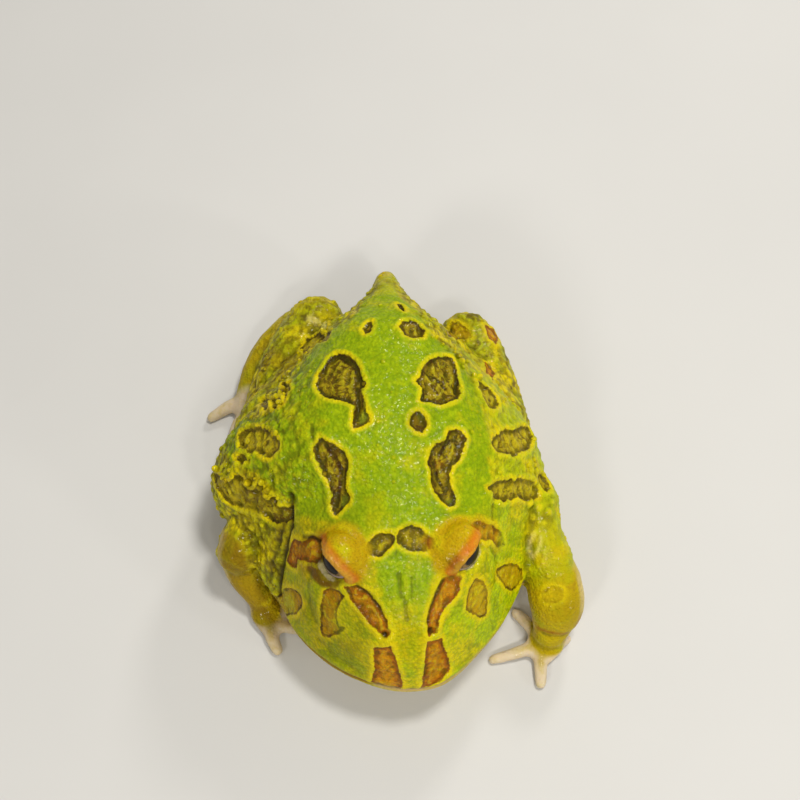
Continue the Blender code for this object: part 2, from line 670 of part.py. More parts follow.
LEFT_FINGERS = [
    [(25.2, -33.0, 1.4, 1.4, 1.5), (25.0, -36.4, 1.4, 1.3, 1.4), (24.8, -39.2, 1.0, 1.1, 1.1)],
    [(24.6, -32.2, 1.4, 1.4, 1.4), (20.4, -33.4, 1.3, 1.2, 1.2), (16.4, -34.2, 0.9, 0.95, 1.0)],
    [(25.4, -30.6, 1.4, 1.4, 1.4), (23.4, -27.6, 1.3, 1.3, 1.3), (21.4, -25.4, 0.9, 1.0, 1.0)],
    [(27.0, -31.8, 1.4, 1.4, 1.4), (28.8, -31.9, 1.3, 1.2, 1.2), (30.4, -31.0, 0.9, 1.0, 1.0)],
]
hand_right = paw(
    "hand_right_work", RIGHT_PALM, RIGHT_FINGERS,
    trunk + [grown(upper_arm_right), grown(forearm_right)])
hand_left = paw(
    "hand_left_work", LEFT_PALM, LEFT_FINGERS,
    trunk + [grown(upper_arm_left), grown(forearm_left)])

finish(torso, "torso", BACK)
finish(head, "head", BACK)
finish(jaw, "lower_jaw", FLANK)
for word, eye, lid in zip(("right", "left"), eyes, lids):
    finish(eye, "eye_" + word, EYE, 0.08)
    finish(lid, "eyelid_" + word, LID)
finish(upper_arm_right, "upper_arm_right", LIMB)
finish(upper_arm_left, "upper_arm_left", LIMB)
finish(forearm_right, "forearm_right", LIMB)
finish(forearm_left, "forearm_left", LIMB)
finish(hand_right, "hand_right", PALE)
finish(hand_left, "hand_left", PALE)
finish(thigh_right, "thigh_right", FLANK)
finish(thigh_left, "thigh_left", FLANK)
finish(shank_right, "shank_right", FLANK)
finish(shank_left, "shank_left", FLANK)
finish(foot_right, "foot_right", PALE)
finish(foot_left, "foot_left", PALE)
drop(*[thing for thing in list(CUTTERS.objects)])
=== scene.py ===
# %% [markdown]
# # Dressing an argentine horned frog
# The solids of this frog came from a CAD step: nineteen closed bodies that sit a hair's breadth
# apart. They are right in size and stance, but they are plain. In this lesson one continuous skin
# is grown over them, folded, grooved and painted with procedural materials, the two eyes are
# made anew, small tubercles are sown, and the frog is put on a pale floor under soft light.
# All the work is done in metres, with +Z up. The frog looks along -Y and its left side is +X.

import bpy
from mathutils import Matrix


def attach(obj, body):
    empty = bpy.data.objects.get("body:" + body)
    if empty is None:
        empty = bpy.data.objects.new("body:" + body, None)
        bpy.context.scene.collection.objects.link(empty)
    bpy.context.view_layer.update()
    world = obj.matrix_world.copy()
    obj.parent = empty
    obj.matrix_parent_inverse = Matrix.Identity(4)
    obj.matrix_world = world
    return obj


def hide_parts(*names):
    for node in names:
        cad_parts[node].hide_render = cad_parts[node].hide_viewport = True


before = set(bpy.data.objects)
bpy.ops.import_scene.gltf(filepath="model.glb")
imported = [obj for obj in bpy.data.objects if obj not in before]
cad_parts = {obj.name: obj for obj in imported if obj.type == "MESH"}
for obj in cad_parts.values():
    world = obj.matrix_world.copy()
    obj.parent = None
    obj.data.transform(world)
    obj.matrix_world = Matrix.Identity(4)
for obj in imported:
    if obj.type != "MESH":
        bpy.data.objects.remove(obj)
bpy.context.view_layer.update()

# %% [markdown]
# ## Tools of the trade
# `bpy` is Blender itself, `bmesh` edits meshes, `mathutils` has vectors, noise and fast searches,
# and `numpy` moves a hundred thousand points at once, which plain Python loops do too slowly.
# Lengths are thought of in millimetres and turned into metres at the last moment.

import bmesh
import bpy
import numpy as np
from mathutils import Matrix, Vector, noise
from mathutils.bvhtree import BVHTree
from mathutils.kdtree import KDTree

MM = 0.001
print("nodes:", sorted(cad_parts))

# %% [markdown]
# ## The camera
# The photograph looks down at the frog from in front, at 65 degrees above the floor. The camera
# is put there first, because many places on the skin are found by looking through it: a pixel of
# the 800 by 800 image is a ray, and where the ray meets the skin is the place on the frog.

# %% Camera
ELEVATION = np.radians(65.0)
AZIMUTH = np.radians(-2.69)
DISTANCE = 280.0 * MM
AIM_HEIGHT = 15.0 * MM
AIM = Vector((1.4 * MM, 14.1 * MM, AIM_HEIGHT))
LENS = 66.5  # focal length and sensor in the millimetres of a real camera
SENSOR = 36.0
IMAGE = 800.0  # pixels

eye_point = Vector((
    DISTANCE * np.sin(AZIMUTH) * np.cos(ELEVATION),
    -DISTANCE * np.cos(AZIMUTH) * np.cos(ELEVATION),
    AIM_HEIGHT + DISTANCE * np.sin(ELEVATION)))
camera_data = bpy.data.cameras.new("camera")
camera_data.lens = LENS
camera_data.sensor_width = SENSOR
camera_data.clip_start = 0.01
camera = bpy.data.objects.new("camera", camera_data)
bpy.context.scene.collection.objects.link(camera)
camera.location = eye_point
camera.rotation_euler = (AIM - eye_point).to_track_quat("-Z", "Y").to_euler()
bpy.context.scene.camera = camera
bpy.context.view_layer.update()
print("camera at", [round(v * 1000) for v in camera.location], "mm")

# %% Pixels and rays
TURN = camera.rotation_euler.to_matrix()
FOCAL = LENS / SENSOR * IMAGE


def pixel_ray(u, v):
    """The direction in which the camera sees a pixel."""
    way = TURN @ Vector(((u - IMAGE / 2) / FOCAL, -(v - IMAGE / 2) / FOCAL, -1.0))
    return way.normalized()


print("the middle of the image looks along", pixel_ray(400, 400).to_tuple(2))

# %% [markdown]
# ## Floor and light
# A plain pale floor and large soft lamps let the colours of the skin speak. A wet skin shows its
# shape mostly by its highlights, so three small lamps are added to the large ones: each puts
# sparks on one part, the lids and the back, the snout, and the left side. One bright lamp would do
# it too, but it would throw a hard shadow.

# %% Small helpers for node trees


def wire(tree, source, target):
    """Joins an output to an input of a node tree."""
    tree.links.new(source, target)


def put(tree, kind, **values):
    """Adds a node and sets its properties and inputs, each named with underscores for spaces.

    A value that is the output of another node is joined to the input.
    """
    made = tree.nodes.new(kind)
    for name, value in values.items():
        plain = name.replace("_", " ")
        if hasattr(made, name):
            setattr(made, name, value)
        elif hasattr(value, "links"):
            wire(tree, value, made.inputs[plain])
        else:
            made.inputs[plain].default_value = value
    return made


def new_material(name):
    """A material with its node tree and its Principled shader."""
    made = bpy.data.materials.new(name)
    made.use_nodes = True
    return made, made.node_tree, made.node_tree.nodes["Principled BSDF"]


print("helpers: wire, put, new_material")

# %% Floor
FLOOR_HALF = 0.9  # metres
FLOOR_TONES = (0.60, 0.64)
floor_mesh = bpy.data.meshes.new("floor")
work = bmesh.new()
bmesh.ops.create_grid(work, x_segments=1, y_segments=1, size=FLOOR_HALF)
work.to_mesh(floor_mesh)
work.free()
floor = bpy.data.objects.new("floor", floor_mesh)
bpy.context.scene.collection.objects.link(floor)
floor_paint, tree, shader = new_material("pale_floor")
grain = put(tree, "ShaderNodeTexNoise", Scale=40.0, Detail=3.0)
tone = put(tree, "ShaderNodeMapRange", Value=grain.outputs["Fac"])
tone.inputs["To Min"].default_value = FLOOR_TONES[0]
tone.inputs["To Max"].default_value = FLOOR_TONES[1]
wire(tree, tone.outputs["Result"], shader.inputs["Base Color"])
shader.inputs["Roughness"].default_value = 0.75
floor_mesh.materials.append(floor_paint)
print("floor", floor.dimensions[:])

# %% Sky
SKY_COLOUR = (1.0, 0.95, 0.86, 1.0)
SKY_STRENGTH = 0.32
world = bpy.data.worlds.new("studio")
world.use_nodes = True
sky = world.node_tree.nodes["Background"]
sky.inputs["Color"].default_value = SKY_COLOUR
sky.inputs["Strength"].default_value = SKY_STRENGTH
bpy.context.scene.world = world
bpy.context.scene.view_settings.view_transform = "Standard"
print("sky strength", SKY_STRENGTH)

# %% Lamps
LAMP_COLOUR = (1.0, 0.97, 0.90)
LAMPS = [
    # name, place in mm, size in mm, watts
    ("key", (125, 35, 505), 90, 1.24),
    ("glint", (99, -255, 340), 46, 0.26),
    ("snout_glint", (45, -340, 390), 36, 0.20),
    ("side_glint", (400, -280, 230), 50, 0.26),
    ("front", (-230, -400, 340), 95, 0.58),
    ("back", (200, 410, 320), 95, 0.78),
]
for name, place, size, watts in LAMPS:
    data = bpy.data.lights.new(name, "AREA")
    data.shape = "DISK"
    data.size = size * MM
    data.energy = watts
    data.color = LAMP_COLOUR
    lamp = bpy.data.objects.new(name, data)
    bpy.context.scene.collection.objects.link(lamp)
    lamp.location = Vector(place) * MM
    lamp.rotation_euler = (-lamp.location).to_track_quat("-Z", "Y").to_euler()
print(len(LAMPS), "lamps")

# %% [markdown]
# ## One skin over all the solids
# A frog's skin is one sheet that runs over every joint, so the gaps between the solids have to go.
# Sculptors would use a remesh, and so does this script: copies of the solids are grown by a
# fraction of a millimetre until they touch, a voxel remesh wraps them in one even net of quads,
# and the net is shrunk back and smoothed. The eyes stay out, so their sockets stay open. The size
# of the voxels is a compromise: smaller ones keep more of the warts, but the number of faces grows
# with the square.

# %% Copies of the solids, grown until they meet
SWELL = 0.22  # mm, more than half of the widest gap
WELD = 0.002  # mm, points nearer than this are one point
SHARPEST = 1.5  # how much further a point on a sharp edge may move
FLESH = sorted(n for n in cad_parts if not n.startswith("eye_"))


def merged_copy(name):
    """The points and faces of a CAD node with its doubled points merged."""
    work = bmesh.new()
    work.from_mesh(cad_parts[name].data)
    bmesh.ops.remove_doubles(work, verts=work.verts, dist=WELD * MM)
    work.normal_update()
    return work


def grown_copy(name, by):
    """A node's mesh with every point moved outwards, a little further at sharp edges."""
    work = merged_copy(name)
    moves = [(v, v.normal * min(v.calc_shell_factor(), SHARPEST) * by * MM) for v in work.verts]
    for vertex, move in moves:
        vertex.co += move
    mesh = bpy.data.meshes.new(name + "_grown")
    work.to_mesh(mesh)
    work.free()
    return mesh


def joined(meshes, name):
    """One mesh from several; the parts are freed."""
    work = bmesh.new()
    for mesh in meshes:
        work.from_mesh(mesh)
        bpy.data.meshes.remove(mesh)
    made = bpy.data.meshes.new(name)
    work.to_mesh(made)
    work.free()
    return made


skin_mesh = joined([grown_copy(n, SWELL) for n in FLESH], "skin")
print(len(skin_mesh.vertices), "points before the remesh")

# %% The voxel remesh
VOXEL = 0.468  # mm, just under two hundred thousand triangles


def applied(thing):
    """The mesh of an object with its modifiers worked in."""
    bpy.context.view_layer.update()
    shaped = thing.evaluated_get(bpy.context.evaluated_depsgraph_get())
    return bpy.data.meshes.new_from_object(shaped)


skin = bpy.data.objects.new("skin", skin_mesh)
bpy.context.scene.collection.objects.link(skin)
remesh = skin.modifiers.new("even_net", "REMESH")
remesh.mode = "VOXEL"
remesh.voxel_size = VOXEL * MM
skin_mesh = applied(skin)
skin.modifiers.remove(remesh)
skin.data = skin_mesh
print(len(skin_mesh.vertices), "points after it")

# %% [markdown]
# The remesh can leave small closed bubbles where two solids met, so only the shell with the most
# points is kept. From here on the skin is a table of points in numpy, with a list of its edges, and
# `smoothed` averages each point with its neighbours. A plain average shrinks a shape, so every
# second step pushes outwards again.

# %% Keep the outer shell


def outer_shell(mesh):
    """Labels connected points by passing the lowest label along the edges."""
    count = len(mesh.vertices)
    ends = np.empty(len(mesh.edges) * 2, np.int64)
    mesh.edges.foreach_get("vertices", ends)
    ends = ends.reshape(-1, 2)
    label = np.arange(count)
    while True:
        low = np.minimum(label[ends[:, 0]], label[ends[:, 1]])
        fresh = label.copy()
        np.minimum.at(fresh, ends[:, 0], low)
        np.minimum.at(fresh, ends[:, 1], low)
        fresh = fresh[fresh]
        if (fresh == label).all():
            break
        label = fresh
    names, sizes = np.unique(label, return_counts=True)
    return label == names[np.argmax(sizes)], len(names)


keep, shells = outer_shell(skin_mesh)
work = bmesh.new()
work.from_mesh(skin_mesh)
work.verts.ensure_lookup_table()
loose = [work.verts[i] for i in np.nonzero(~keep)[0]]
bmesh.ops.delete(work, geom=loose, context="VERTS")
work.to_mesh(skin_mesh)
work.free()
print(shells, "shells, kept", len(skin_mesh.vertices), "points")

# %% The skin as numbers


def points_of(mesh):
    """The points of a mesh as a table, in mm."""
    flat = np.empty(len(mesh.vertices) * 3)
    mesh.vertices.foreach_get("co", flat)
    return flat.reshape(-1, 3) / MM


def set_points(mesh, places):
    """Moves the points of a mesh to a table of places in mm."""
    mesh.vertices.foreach_set("co", (places * MM).ravel())
    mesh.update()


def normals_of(mesh):
    """The direction that the surface faces at each point."""
    flat = np.empty(len(mesh.vertices) * 3, np.float32)
    mesh.vertex_normals.foreach_get("vector", flat)
    return flat.reshape(-1, 3).astype(float)


edges = np.empty(len(skin_mesh.edges) * 2, np.int64)
skin_mesh.edges.foreach_get("vertices", edges)
edges = edges.reshape(-1, 2)
COUNT = len(skin_mesh.vertices)
around = np.bincount(edges.ravel(), minlength=COUNT).astype(float)
print(COUNT, "points and", len(edges), "edges")

# %% Smooth it and shrink it back
PULL = 0.6  # share of the way to the neighbours' mean
PUSH = 0.55  # share of the way back


def averaged(values):
    """The mean of each point's neighbours."""
    values = np.asarray(values, float)
    if values.ndim == 1:
        total = np.bincount(edges[:, 0], values[edges[:, 1]], COUNT)
        total += np.bincount(edges[:, 1], values[edges[:, 0]], COUNT)
        return total / around
    return np.stack([averaged(values[:, i]) for i in range(values.shape[1])], 1)


def smoothed(values, steps, push=0.0):
    """Values averaged along the skin; a push keeps a shape from shrinking."""
    for _ in range(steps):
        values = values + PULL * (averaged(values) - values)
        if push:
            values = values - push * (averaged(values) - values)
    return values


points = smoothed(points_of(skin_mesh), 4, PUSH)
set_points(skin_mesh, points)
points = points - normals_of(skin_mesh) * SWELL
points = smoothed(points, 2, PUSH)
set_points(skin_mesh, points)
print("span in mm:", np.ptp(points, axis=0).round(2))

# %% [markdown]
# ## Which part of the frog is under each point?
# Lips, lids, digits and belly have their own colours, so every point of the skin is told which CAD
# node it lies on. One search tree holds the faces of all nodes, and each point asks for the nearest
# face. The yes or no answers are then blurred along the skin, so that colours flow into each other.

# %% Nearest node for every point
tree_points = []
tree_faces = []
face_node = []
for index, name in enumerate(FLESH):
    work = merged_copy(name)
    start = len(tree_points)
    tree_points += [v.co / MM for v in work.verts]
    tree_faces += [[start + v.index for v in f.verts] for f in work.faces]
    face_node += [index] * len(work.faces)
    work.free()
solids = BVHTree.FromPolygons(tree_points, tree_faces)
face_node = np.array(face_node)
nearest = np.array([solids.find_nearest(Vector(p))[2] for p in points])
node_of = face_node[nearest]


def mask(words, blur):
    """1 on the nodes whose names start with one of the words, blurred along the skin."""
    chosen = [i for i, n in enumerate(FLESH) if n.startswith(tuple(words))]
    return smoothed(np.isin(node_of, chosen).astype(float), blur)


print({n: int((node_of == i).sum()) for i, n in enumerate(FLESH)})

# %% [markdown]
# A place on the frog is easiest to name by its pixel in the photograph. A ray from the camera
# through the pixel is followed until it meets the skin. That way a marking drawn on the flat
# picture lands where it belongs on the rounded back, and the camera sees it where it should.

# %% From a pixel to the skin
skin_faces = [tuple(p.vertices) for p in skin_mesh.polygons]
skin_tree = BVHTree.FromPolygons([Vector(p) for p in points], skin_faces)
EYE_AT = eye_point / MM
SEEN_FROM, SEEN_TO = 220.0, 320.0  # mm from the camera


def on_skin(u, v):
    """The point of the skin, in mm, that a pixel shows, and its normal.

    A pixel just beside the frog gives the point that its ray passes nearest to.
    """
    way = pixel_ray(u, v)
    place, normal, _, _ = skin_tree.ray_cast(EYE_AT, way)
    if place is None:
        best = None
        for far in np.arange(SEEN_FROM, SEEN_TO, 1.0):
            near, normal, _, gap = skin_tree.find_nearest(EYE_AT + way * far)
            if best is None or gap < best[2]:
                best = (near, normal, gap)
        place, normal = best[0], best[1]
    return np.array(place), np.array(normal)


print("the vent tip is seen at", on_skin(385, 284)[0].round(1))

# %% [markdown]
# ## Distances along the skin
# Every marking is an outline of a few named pixels. The outline is laid on the skin, flattened onto
# the plane that touches the skin there, and each point near it gets its distance to that outline in
# millimetres: negative inside, positive outside. A shader can cut such a smooth field sharply at
# zero, and can draw dark rims and yellow borders at chosen distances from it. An image texture
# would be the usual way, but it needs unwrapping and has only one sharpness.

# %% Signed distance to an outline on a plane
FAR = 6.0  # mm, further than this no shader looks
SAME_SIDE = 0.05  # how much a point must face the same way as the outline
TINY = 1e-9
ALONG_X = 0.8  # a normal nearer to X than this is crossed with Y


def plane_at(middle, normal):
    """Two directions along the skin at a place."""
    helper = np.array((1.0, 0.0, 0.0)) if abs(normal[0]) < ALONG_X else np.array((0.0, 1.0, 0.0))
    first = np.cross(normal, helper)
    first /= np.linalg.norm(first)
    return first, np.cross(normal, first)


def outline_distance(flat, outline):
    """Signed distance from points of a plane to a closed outline in it."""
    best = np.full(len(flat), 1e9)
    inside = np.zeros(len(flat), bool)
    for a, b in zip(outline, np.roll(outline, -1, axis=0)):
        side = b - a
        share = np.clip(((flat - a) @ side) / max(side @ side, TINY), 0.0, 1.0)
        best = np.minimum(best, np.linalg.norm(flat - a - share[:, None] * side, axis=1))
        crosses = (a[1] > flat[:, 1]) != (b[1] > flat[:, 1])
        rise = b[1] - a[1] if abs(b[1] - a[1]) > TINY else TINY
        inside ^= crosses & (flat[:, 0] < a[0] + (flat[:, 1] - a[1]) / rise * side[0])
    return np.where(inside, -best, best)


SKIN_NORMALS = normals_of(skin_mesh)
spacing = np.linalg.norm(points[edges[:, 0]] - points[edges[:, 1]], axis=1)
print("typical spacing of the net:", round(float(np.median(spacing)), 3), "mm")

# %% Signed distance on the skin
SHALLOW = 7.0  # mm above or below the plane


def skin_distance(outline, deep=SHALLOW):
    """Signed distance in mm, over the whole skin, to an outline given in pixels."""
    seen = [on_skin(u, v) for u, v in outline]
    places = np.array([p for p, _ in seen])
    middle = places.mean(0)
    normal = np.array([n for _, n in seen]).mean(0)
    normal /= np.linalg.norm(normal)
    first, second = plane_at(middle, normal)
    axes = np.stack([first, second], 1)
    away = points - middle
    reach = np.linalg.norm(places - middle, axis=1).max() + FAR
    near = (np.linalg.norm(away, axis=1) < reach) & (np.abs(away @ normal) < deep)
    near &= SKIN_NORMALS @ normal > SAME_SIDE
    field = np.full(COUNT, FAR)
    field[near] = outline_distance(away[near] @ axes, (places - middle) @ axes)
    return np.minimum(field, FAR)


def line_distance(line):
    """Distance in mm to a line that runs over the skin, given in pixels."""
    places = np.array([on_skin(u, v)[0] for u, v in line])
    best = np.full(COUNT, 1e9)
    for a, b in zip(places, places[1:]):
        side = b - a
        share = np.clip(((points - a) @ side) / max(side @ side, TINY), 0.0, 1.0)
        best = np.minimum(best, np.linalg.norm(points - a - share[:, None] * side, axis=1))
    return best


def away_from(u, v):
    """Distance in mm of every point from the place that a pixel shows."""
    return np.linalg.norm(points - on_skin(u, v)[0], axis=1)


print("points within 5 mm of the vent tip:", int((away_from(385, 284) < 5.0).sum()))

# %% Steps and bells


def ramp(values, low, high):
    """0 below low, 1 above high, with an even bend between."""
    t = np.clip((values - low) / (high - low), 0.0, 1.0)
    return t * t * (3 - 2 * t)


def bell(values, width):
    """1 where a value is 0, sinking evenly to nothing on both sides."""
    return np.exp(-(values / width) ** 2)


print("a ramp and a bell:", ramp(0.25, 0.0, 1.0).round(3), bell(0.5, 1.0).round(3))

# %% [markdown]
# ## The markings
# A green horned frog wears dark olive patches, each with a thin nearly black rim and a yellow
# border. On the head the patches turn rusty: a bar from each eye to the nostril, bars on the lip and
# spots behind the eyes. On cheeks and limbs they are only rings in the colour of their
# surroundings. These three families are kept apart, because they get different colours. Right and
# left are the frog's own.

# %% Olive patches of the back and the flanks, in pixels
OLIVE = {
    "hip_right": [
        (336, 353), (349, 355), (358, 364), (362, 376), (366, 386), (361, 389), (364, 399),
        (366, 409), (370, 416), (369, 422), (363, 426), (354, 429), (352, 424), (353, 414),
        (355, 406), (348, 402), (338, 400), (328, 398), (320, 393), (315, 386), (318, 375),
        (324, 366), (330, 357)],
    "hip_left": [
        (433, 358), (443, 356), (451, 357), (455, 364), (457, 374), (460, 384), (461, 393),
        (457, 399), (450, 402), (441, 405), (430, 402), (420, 401), (422, 392), (422, 387),
        (415, 381), (420, 377), (421, 370), (427, 362)],
    "oval_left": [
        (414, 412), (420, 410), (426, 417), (427, 426), (423, 433), (416, 431), (410, 425),
        (410, 417)],
    "shoulder_right": [
        (320, 437), (328, 442), (338, 446), (345, 452), (348, 460), (348, 470), (346, 479),
        (346, 489), (350, 496), (349, 503), (343, 508), (337, 516), (332, 511), (331, 503),
        (332, 492), (328, 480), (320, 468), (315, 459), (314, 448)],
    "shoulder_left": [
        (448, 431), (456, 429), (463, 432), (466, 440), (463, 450), (459, 460), (452, 466),
        (449, 475), (451, 487), (456, 498), (455, 504), (449, 507), (442, 501), (434, 491),
        (431, 482), (431, 470), (428, 464), (430, 452), (436, 444), (445, 441)],
    "rump_right": [(363, 329), (366, 323), (372, 321), (373, 326), (370, 332), (365, 334)],
    "rump_left": [
        (399, 326), (403, 321), (411, 320), (419, 324), (425, 331), (423, 337), (414, 338),
        (405, 335)],
    "rump_fleck": [(397, 304), (401, 305), (405, 309), (404, 312), (399, 308)],
    "side_left_upper": [
        (477, 382), (482, 383), (488, 388), (495, 396), (498, 404), (495, 409), (489, 407),
        (484, 398), (479, 391)],
    "side_left_middle": [
        (492, 437), (499, 434), (506, 429), (514, 430), (519, 426), (528, 428), (532, 437),
        (530, 446), (522, 453), (513, 456), (504, 453), (497, 451), (492, 444)],
    "side_left_lower": [
        (488, 488), (494, 484), (502, 480), (518, 479), (533, 481), (539, 489), (537, 497),
        (528, 501), (518, 498), (502, 502), (495, 497)],
    "side_left_end": [
        (538, 474), (542, 473), (545, 478), (548, 484), (550, 490), (546, 491), (542, 486),
        (539, 480)],
    "side_right_upper": [
        (240, 434), (250, 428), (262, 427), (272, 432), (279, 442), (279, 449), (270, 458),
        (264, 456), (258, 452), (248, 453), (240, 446)],
    "side_right_small": [(270, 400), (280, 398), (283, 404), (275, 409)],
    "side_right_band": [
        (215, 471), (222, 478), (230, 482), (234, 476), (238, 475), (243, 478), (243, 484),
        (247, 490), (253, 491), (257, 488), (259, 483), (262, 486), (262, 494), (266, 500),
        (270, 501), (272, 497), (276, 498), (277, 506), (283, 508), (291, 507), (291, 518),
        (283, 524), (272, 522), (265, 516), (257, 511), (249, 508), (240, 508), (230, 503),
        (222, 494), (215, 482)],
    "side_right_speck_a": [(236, 455), (246, 456), (250, 461), (243, 464), (237, 461)],
    "side_right_speck_b": [(262, 399), (268, 398), (270, 404), (266, 410), (261, 405)],
    "side_right_speck_c": [(283, 384), (290, 383), (291, 390), (286, 397), (282, 392)],
    "brow_right": [
        (365, 548), (366, 543), (371, 539), (376, 535), (383, 533), (390, 533), (395, 536),
        (395, 540), (392, 546), (387, 551), (382, 556), (375, 557), (369, 556), (366, 552)],
    "brow_left": [
        (396, 536), (400, 530), (405, 527), (411, 525), (418, 527), (423, 531), (428, 535),
        (435, 538), (434, 549), (430, 551), (425, 553), (420, 551), (414, 551), (408, 550),
        (402, 547), (398, 543)],
    "thigh_right": [
        (300, 349), (308, 339), (320, 332), (331, 332), (328, 340), (316, 346), (305, 353)],
}
print(len(OLIVE), "olive patches")

# %% Rusty patches of the head, in pixels
RUSTY = {
    "bar_right": [
        (344, 586), (356, 585), (369, 593), (379, 606), (387, 621), (391, 634), (386, 639),
        (378, 632), (369, 623), (360, 612), (351, 601)],
    "bar_left": [
        (443, 579), (450, 574), (460, 576), (460, 588), (457, 596), (448, 605), (441, 616),
        (437, 633), (429, 637), (427, 626), (431, 609), (437, 593)],
    "lip_right": [
        (374, 647), (391, 646), (395, 657), (399, 669), (403, 685), (398, 690), (386, 688),
        (371, 681), (375, 669), (373, 658)],
    "lip_left": [
        (427, 641), (442, 638), (445, 649), (449, 660), (450, 671), (437, 682), (420, 688),
        (423, 676), (425, 659)],
    "behind_eye_right": [
        (293, 538), (299, 541), (304, 541), (306, 537), (311, 536), (318, 538), (327, 537),
        (328, 548), (321, 557), (317, 563), (309, 562), (302, 560), (298, 560), (297, 568),
        (291, 566), (286, 560), (289, 549)],
    "behind_eye_left": [
        (469, 524), (478, 521), (487, 524), (496, 526), (503, 534), (505, 545), (498, 548),
        (492, 540), (485, 540), (477, 530)],
    "brow_end": [(427, 537), (433, 537), (437, 543), (434, 550), (429, 550)],
    "hip_side_left": [(484, 325), (494, 330), (499, 339), (495, 345), (488, 338)],
    "knee_side_left": [(484, 362), (491, 363), (495, 373), (491, 381), (485, 372)],
}
print(len(RUSTY), "rusty patches")

# %% Rings of the cheeks and the limbs, in pixels


def oval(u, v, half_wide, half_high, count=12):
    """A round outline, for spots that are plain ovals in the photograph."""
    turns = np.arange(count) * 2 * np.pi / count
    return [(u + half_wide * np.cos(t), v + half_high * np.sin(t)) for t in turns]


RINGED = {
    "cheek_right_back": oval(289, 602, 13.5, 14.0),
    "cheek_right_front": [
        (324, 590), (331, 588), (339, 590), (344, 597), (338, 606), (336, 618), (339, 626),
        (346, 628), (338, 634), (330, 638), (322, 636), (320, 626), (320, 611), (322, 598)],
    "cheek_left_front": [
        (467, 598), (470, 587), (476, 577), (484, 582), (488, 592), (488, 604), (486, 616),
        (480, 619), (474, 615), (466, 610)],
    "cheek_left_back": [
        (498, 577), (498, 570), (502, 566), (509, 563), (517, 564), (522, 570), (522, 578),
        (518, 585), (513, 591), (508, 590), (503, 584)],
    "forearm_left": oval(553, 595, 11.5, 9.0),
    "knee_left": [
        (444, 329), (452, 322), (461, 323), (470, 331), (472, 338), (460, 339), (449, 338)],
}
print(len(RINGED), "ringed spots")

# %% The three fields


def nearest_outline(family):
    """Distance to the nearest outline of a family, negative inside it."""
    field = np.full(COUNT, FAR)
    for outline in family.values():
        field = np.minimum(field, skin_distance(outline))
    return field


olive_field = nearest_outline(OLIVE)
rusty_field = nearest_outline(RUSTY)
ring_field = nearest_outline(RINGED)
print("points inside:", int((olive_field < 0).sum()), int((rusty_field < 0).sum()),
      int((ring_field < 0).sum()))

# %% [markdown]
# ## Zones of colour
# The back and the top of the snout are leaf green; flanks and limbs are yellow olive with brown
# mottling; belly and throat are cream, and the fingers and toes are pale and slightly see-through.
# Each zone is a soft mask between 0 and 1. A zone that ends where a body part ends comes from the
# nodes. One with a shape of its own comes from an outline drawn on the photograph.

# %% Outlines of the zones, in pixels
GREEN_BACK = [
    (385, 280), (404, 298), (428, 330), (452, 352), (470, 378), (482, 410), (490, 450),
    (490, 482), (492, 508), (470, 519), (436, 524), (432, 548), (438, 572), (428, 604),
    (420, 636), (422, 656), (410, 668), (400, 660), (396, 640), (384, 606), (374, 576),
    (374, 548), (350, 528), (322, 522), (296, 520), (290, 503), (276, 488), (258, 474),
    (232, 462), (228, 436), (252, 420), (286, 408), (290, 380), (318, 344), (352, 318),
    (370, 296)]
LID_RIGHT = [
    (320, 545), (325, 535), (334, 528), (344, 525), (355, 529), (363, 539), (366, 553),
    (365, 567), (360, 580), (352, 577), (340, 569), (328, 560)]
LID_LEFT = [
    (479, 526), (470, 521), (460, 519), (449, 521), (440, 529), (434, 541), (433, 555),
    (437, 567), (446, 573), (458, 567), (469, 556), (477, 543)]
POUCH_RIGHT = [
    (307, 562), (314, 560), (320, 556), (327, 564), (335, 574), (346, 583), (336, 590),
    (322, 588), (312, 580), (306, 571)]
SHOULDER_SKIN = [
    (236, 513), (252, 514), (264, 520), (284, 526), (287, 542), (282, 562), (278, 590), (270, 602),
    (258, 594), (248, 576), (236, 562), (224, 546), (220, 526)]
SMOOTH_ARM = [
    (214, 528), (224, 525), (234, 533), (241, 543), (248, 556), (254, 572), (260, 590), (266, 606),
    (256, 608), (240, 598), (226, 584), (214, 568)]
print(len(GREEN_BACK), "points round the green back")

# %% Masks from the outlines
ROUND_BODY = 26.0  # mm above or below the plane, for outlines that go far round
ROUND_ARM = 16.0
back_field = skin_distance(GREEN_BACK, ROUND_BODY)
lid_field = np.minimum(skin_distance(LID_RIGHT, ROUND_BODY), skin_distance(LID_LEFT, ROUND_BODY))
pouch = ramp(-skin_distance(POUCH_RIGHT), -0.5, 0.9)
smooth_arm = ramp(-skin_distance(SMOOTH_ARM, ROUND_ARM), -0.5, 0.8)
shoulder_skin = ramp(-skin_distance(SHOULDER_SKIN, ROUND_ARM), -0.6, 1.0)
print("points on the green back:", int((back_field < 0).sum()))

# %% Masks from the nodes
x, y, z = points.T
nx, nz = SKIN_NORMALS[:, 0], SKIN_NORMALS[:, 2]
head_part = mask(["head", "eyelid"], 3)
torso_part = mask(["torso"], 4)
jaw = mask(["lower_jaw"], 1)
lids = mask(["eyelid"], 2)
shoulders = mask(["upper_arm"], 6)
paws = mask(["hand", "foot"], 8)
arms = mask(["forearm", "hand", "foot"], 6)
arms = np.maximum(arms, mask(["shank"], 6) * ramp(11.0 - z, 0.0, 4.0))
print("share of the head:", round(float(head_part.mean()), 2))

# %% [markdown]
# The pale fingers and toes fade into the olive of the palm and of the sole. A hand lies flat, so
# its fingers are what is low enough; a foot points forwards, so its toes are what is far enough to
# the front. Round the middle of each palm the olive is held.

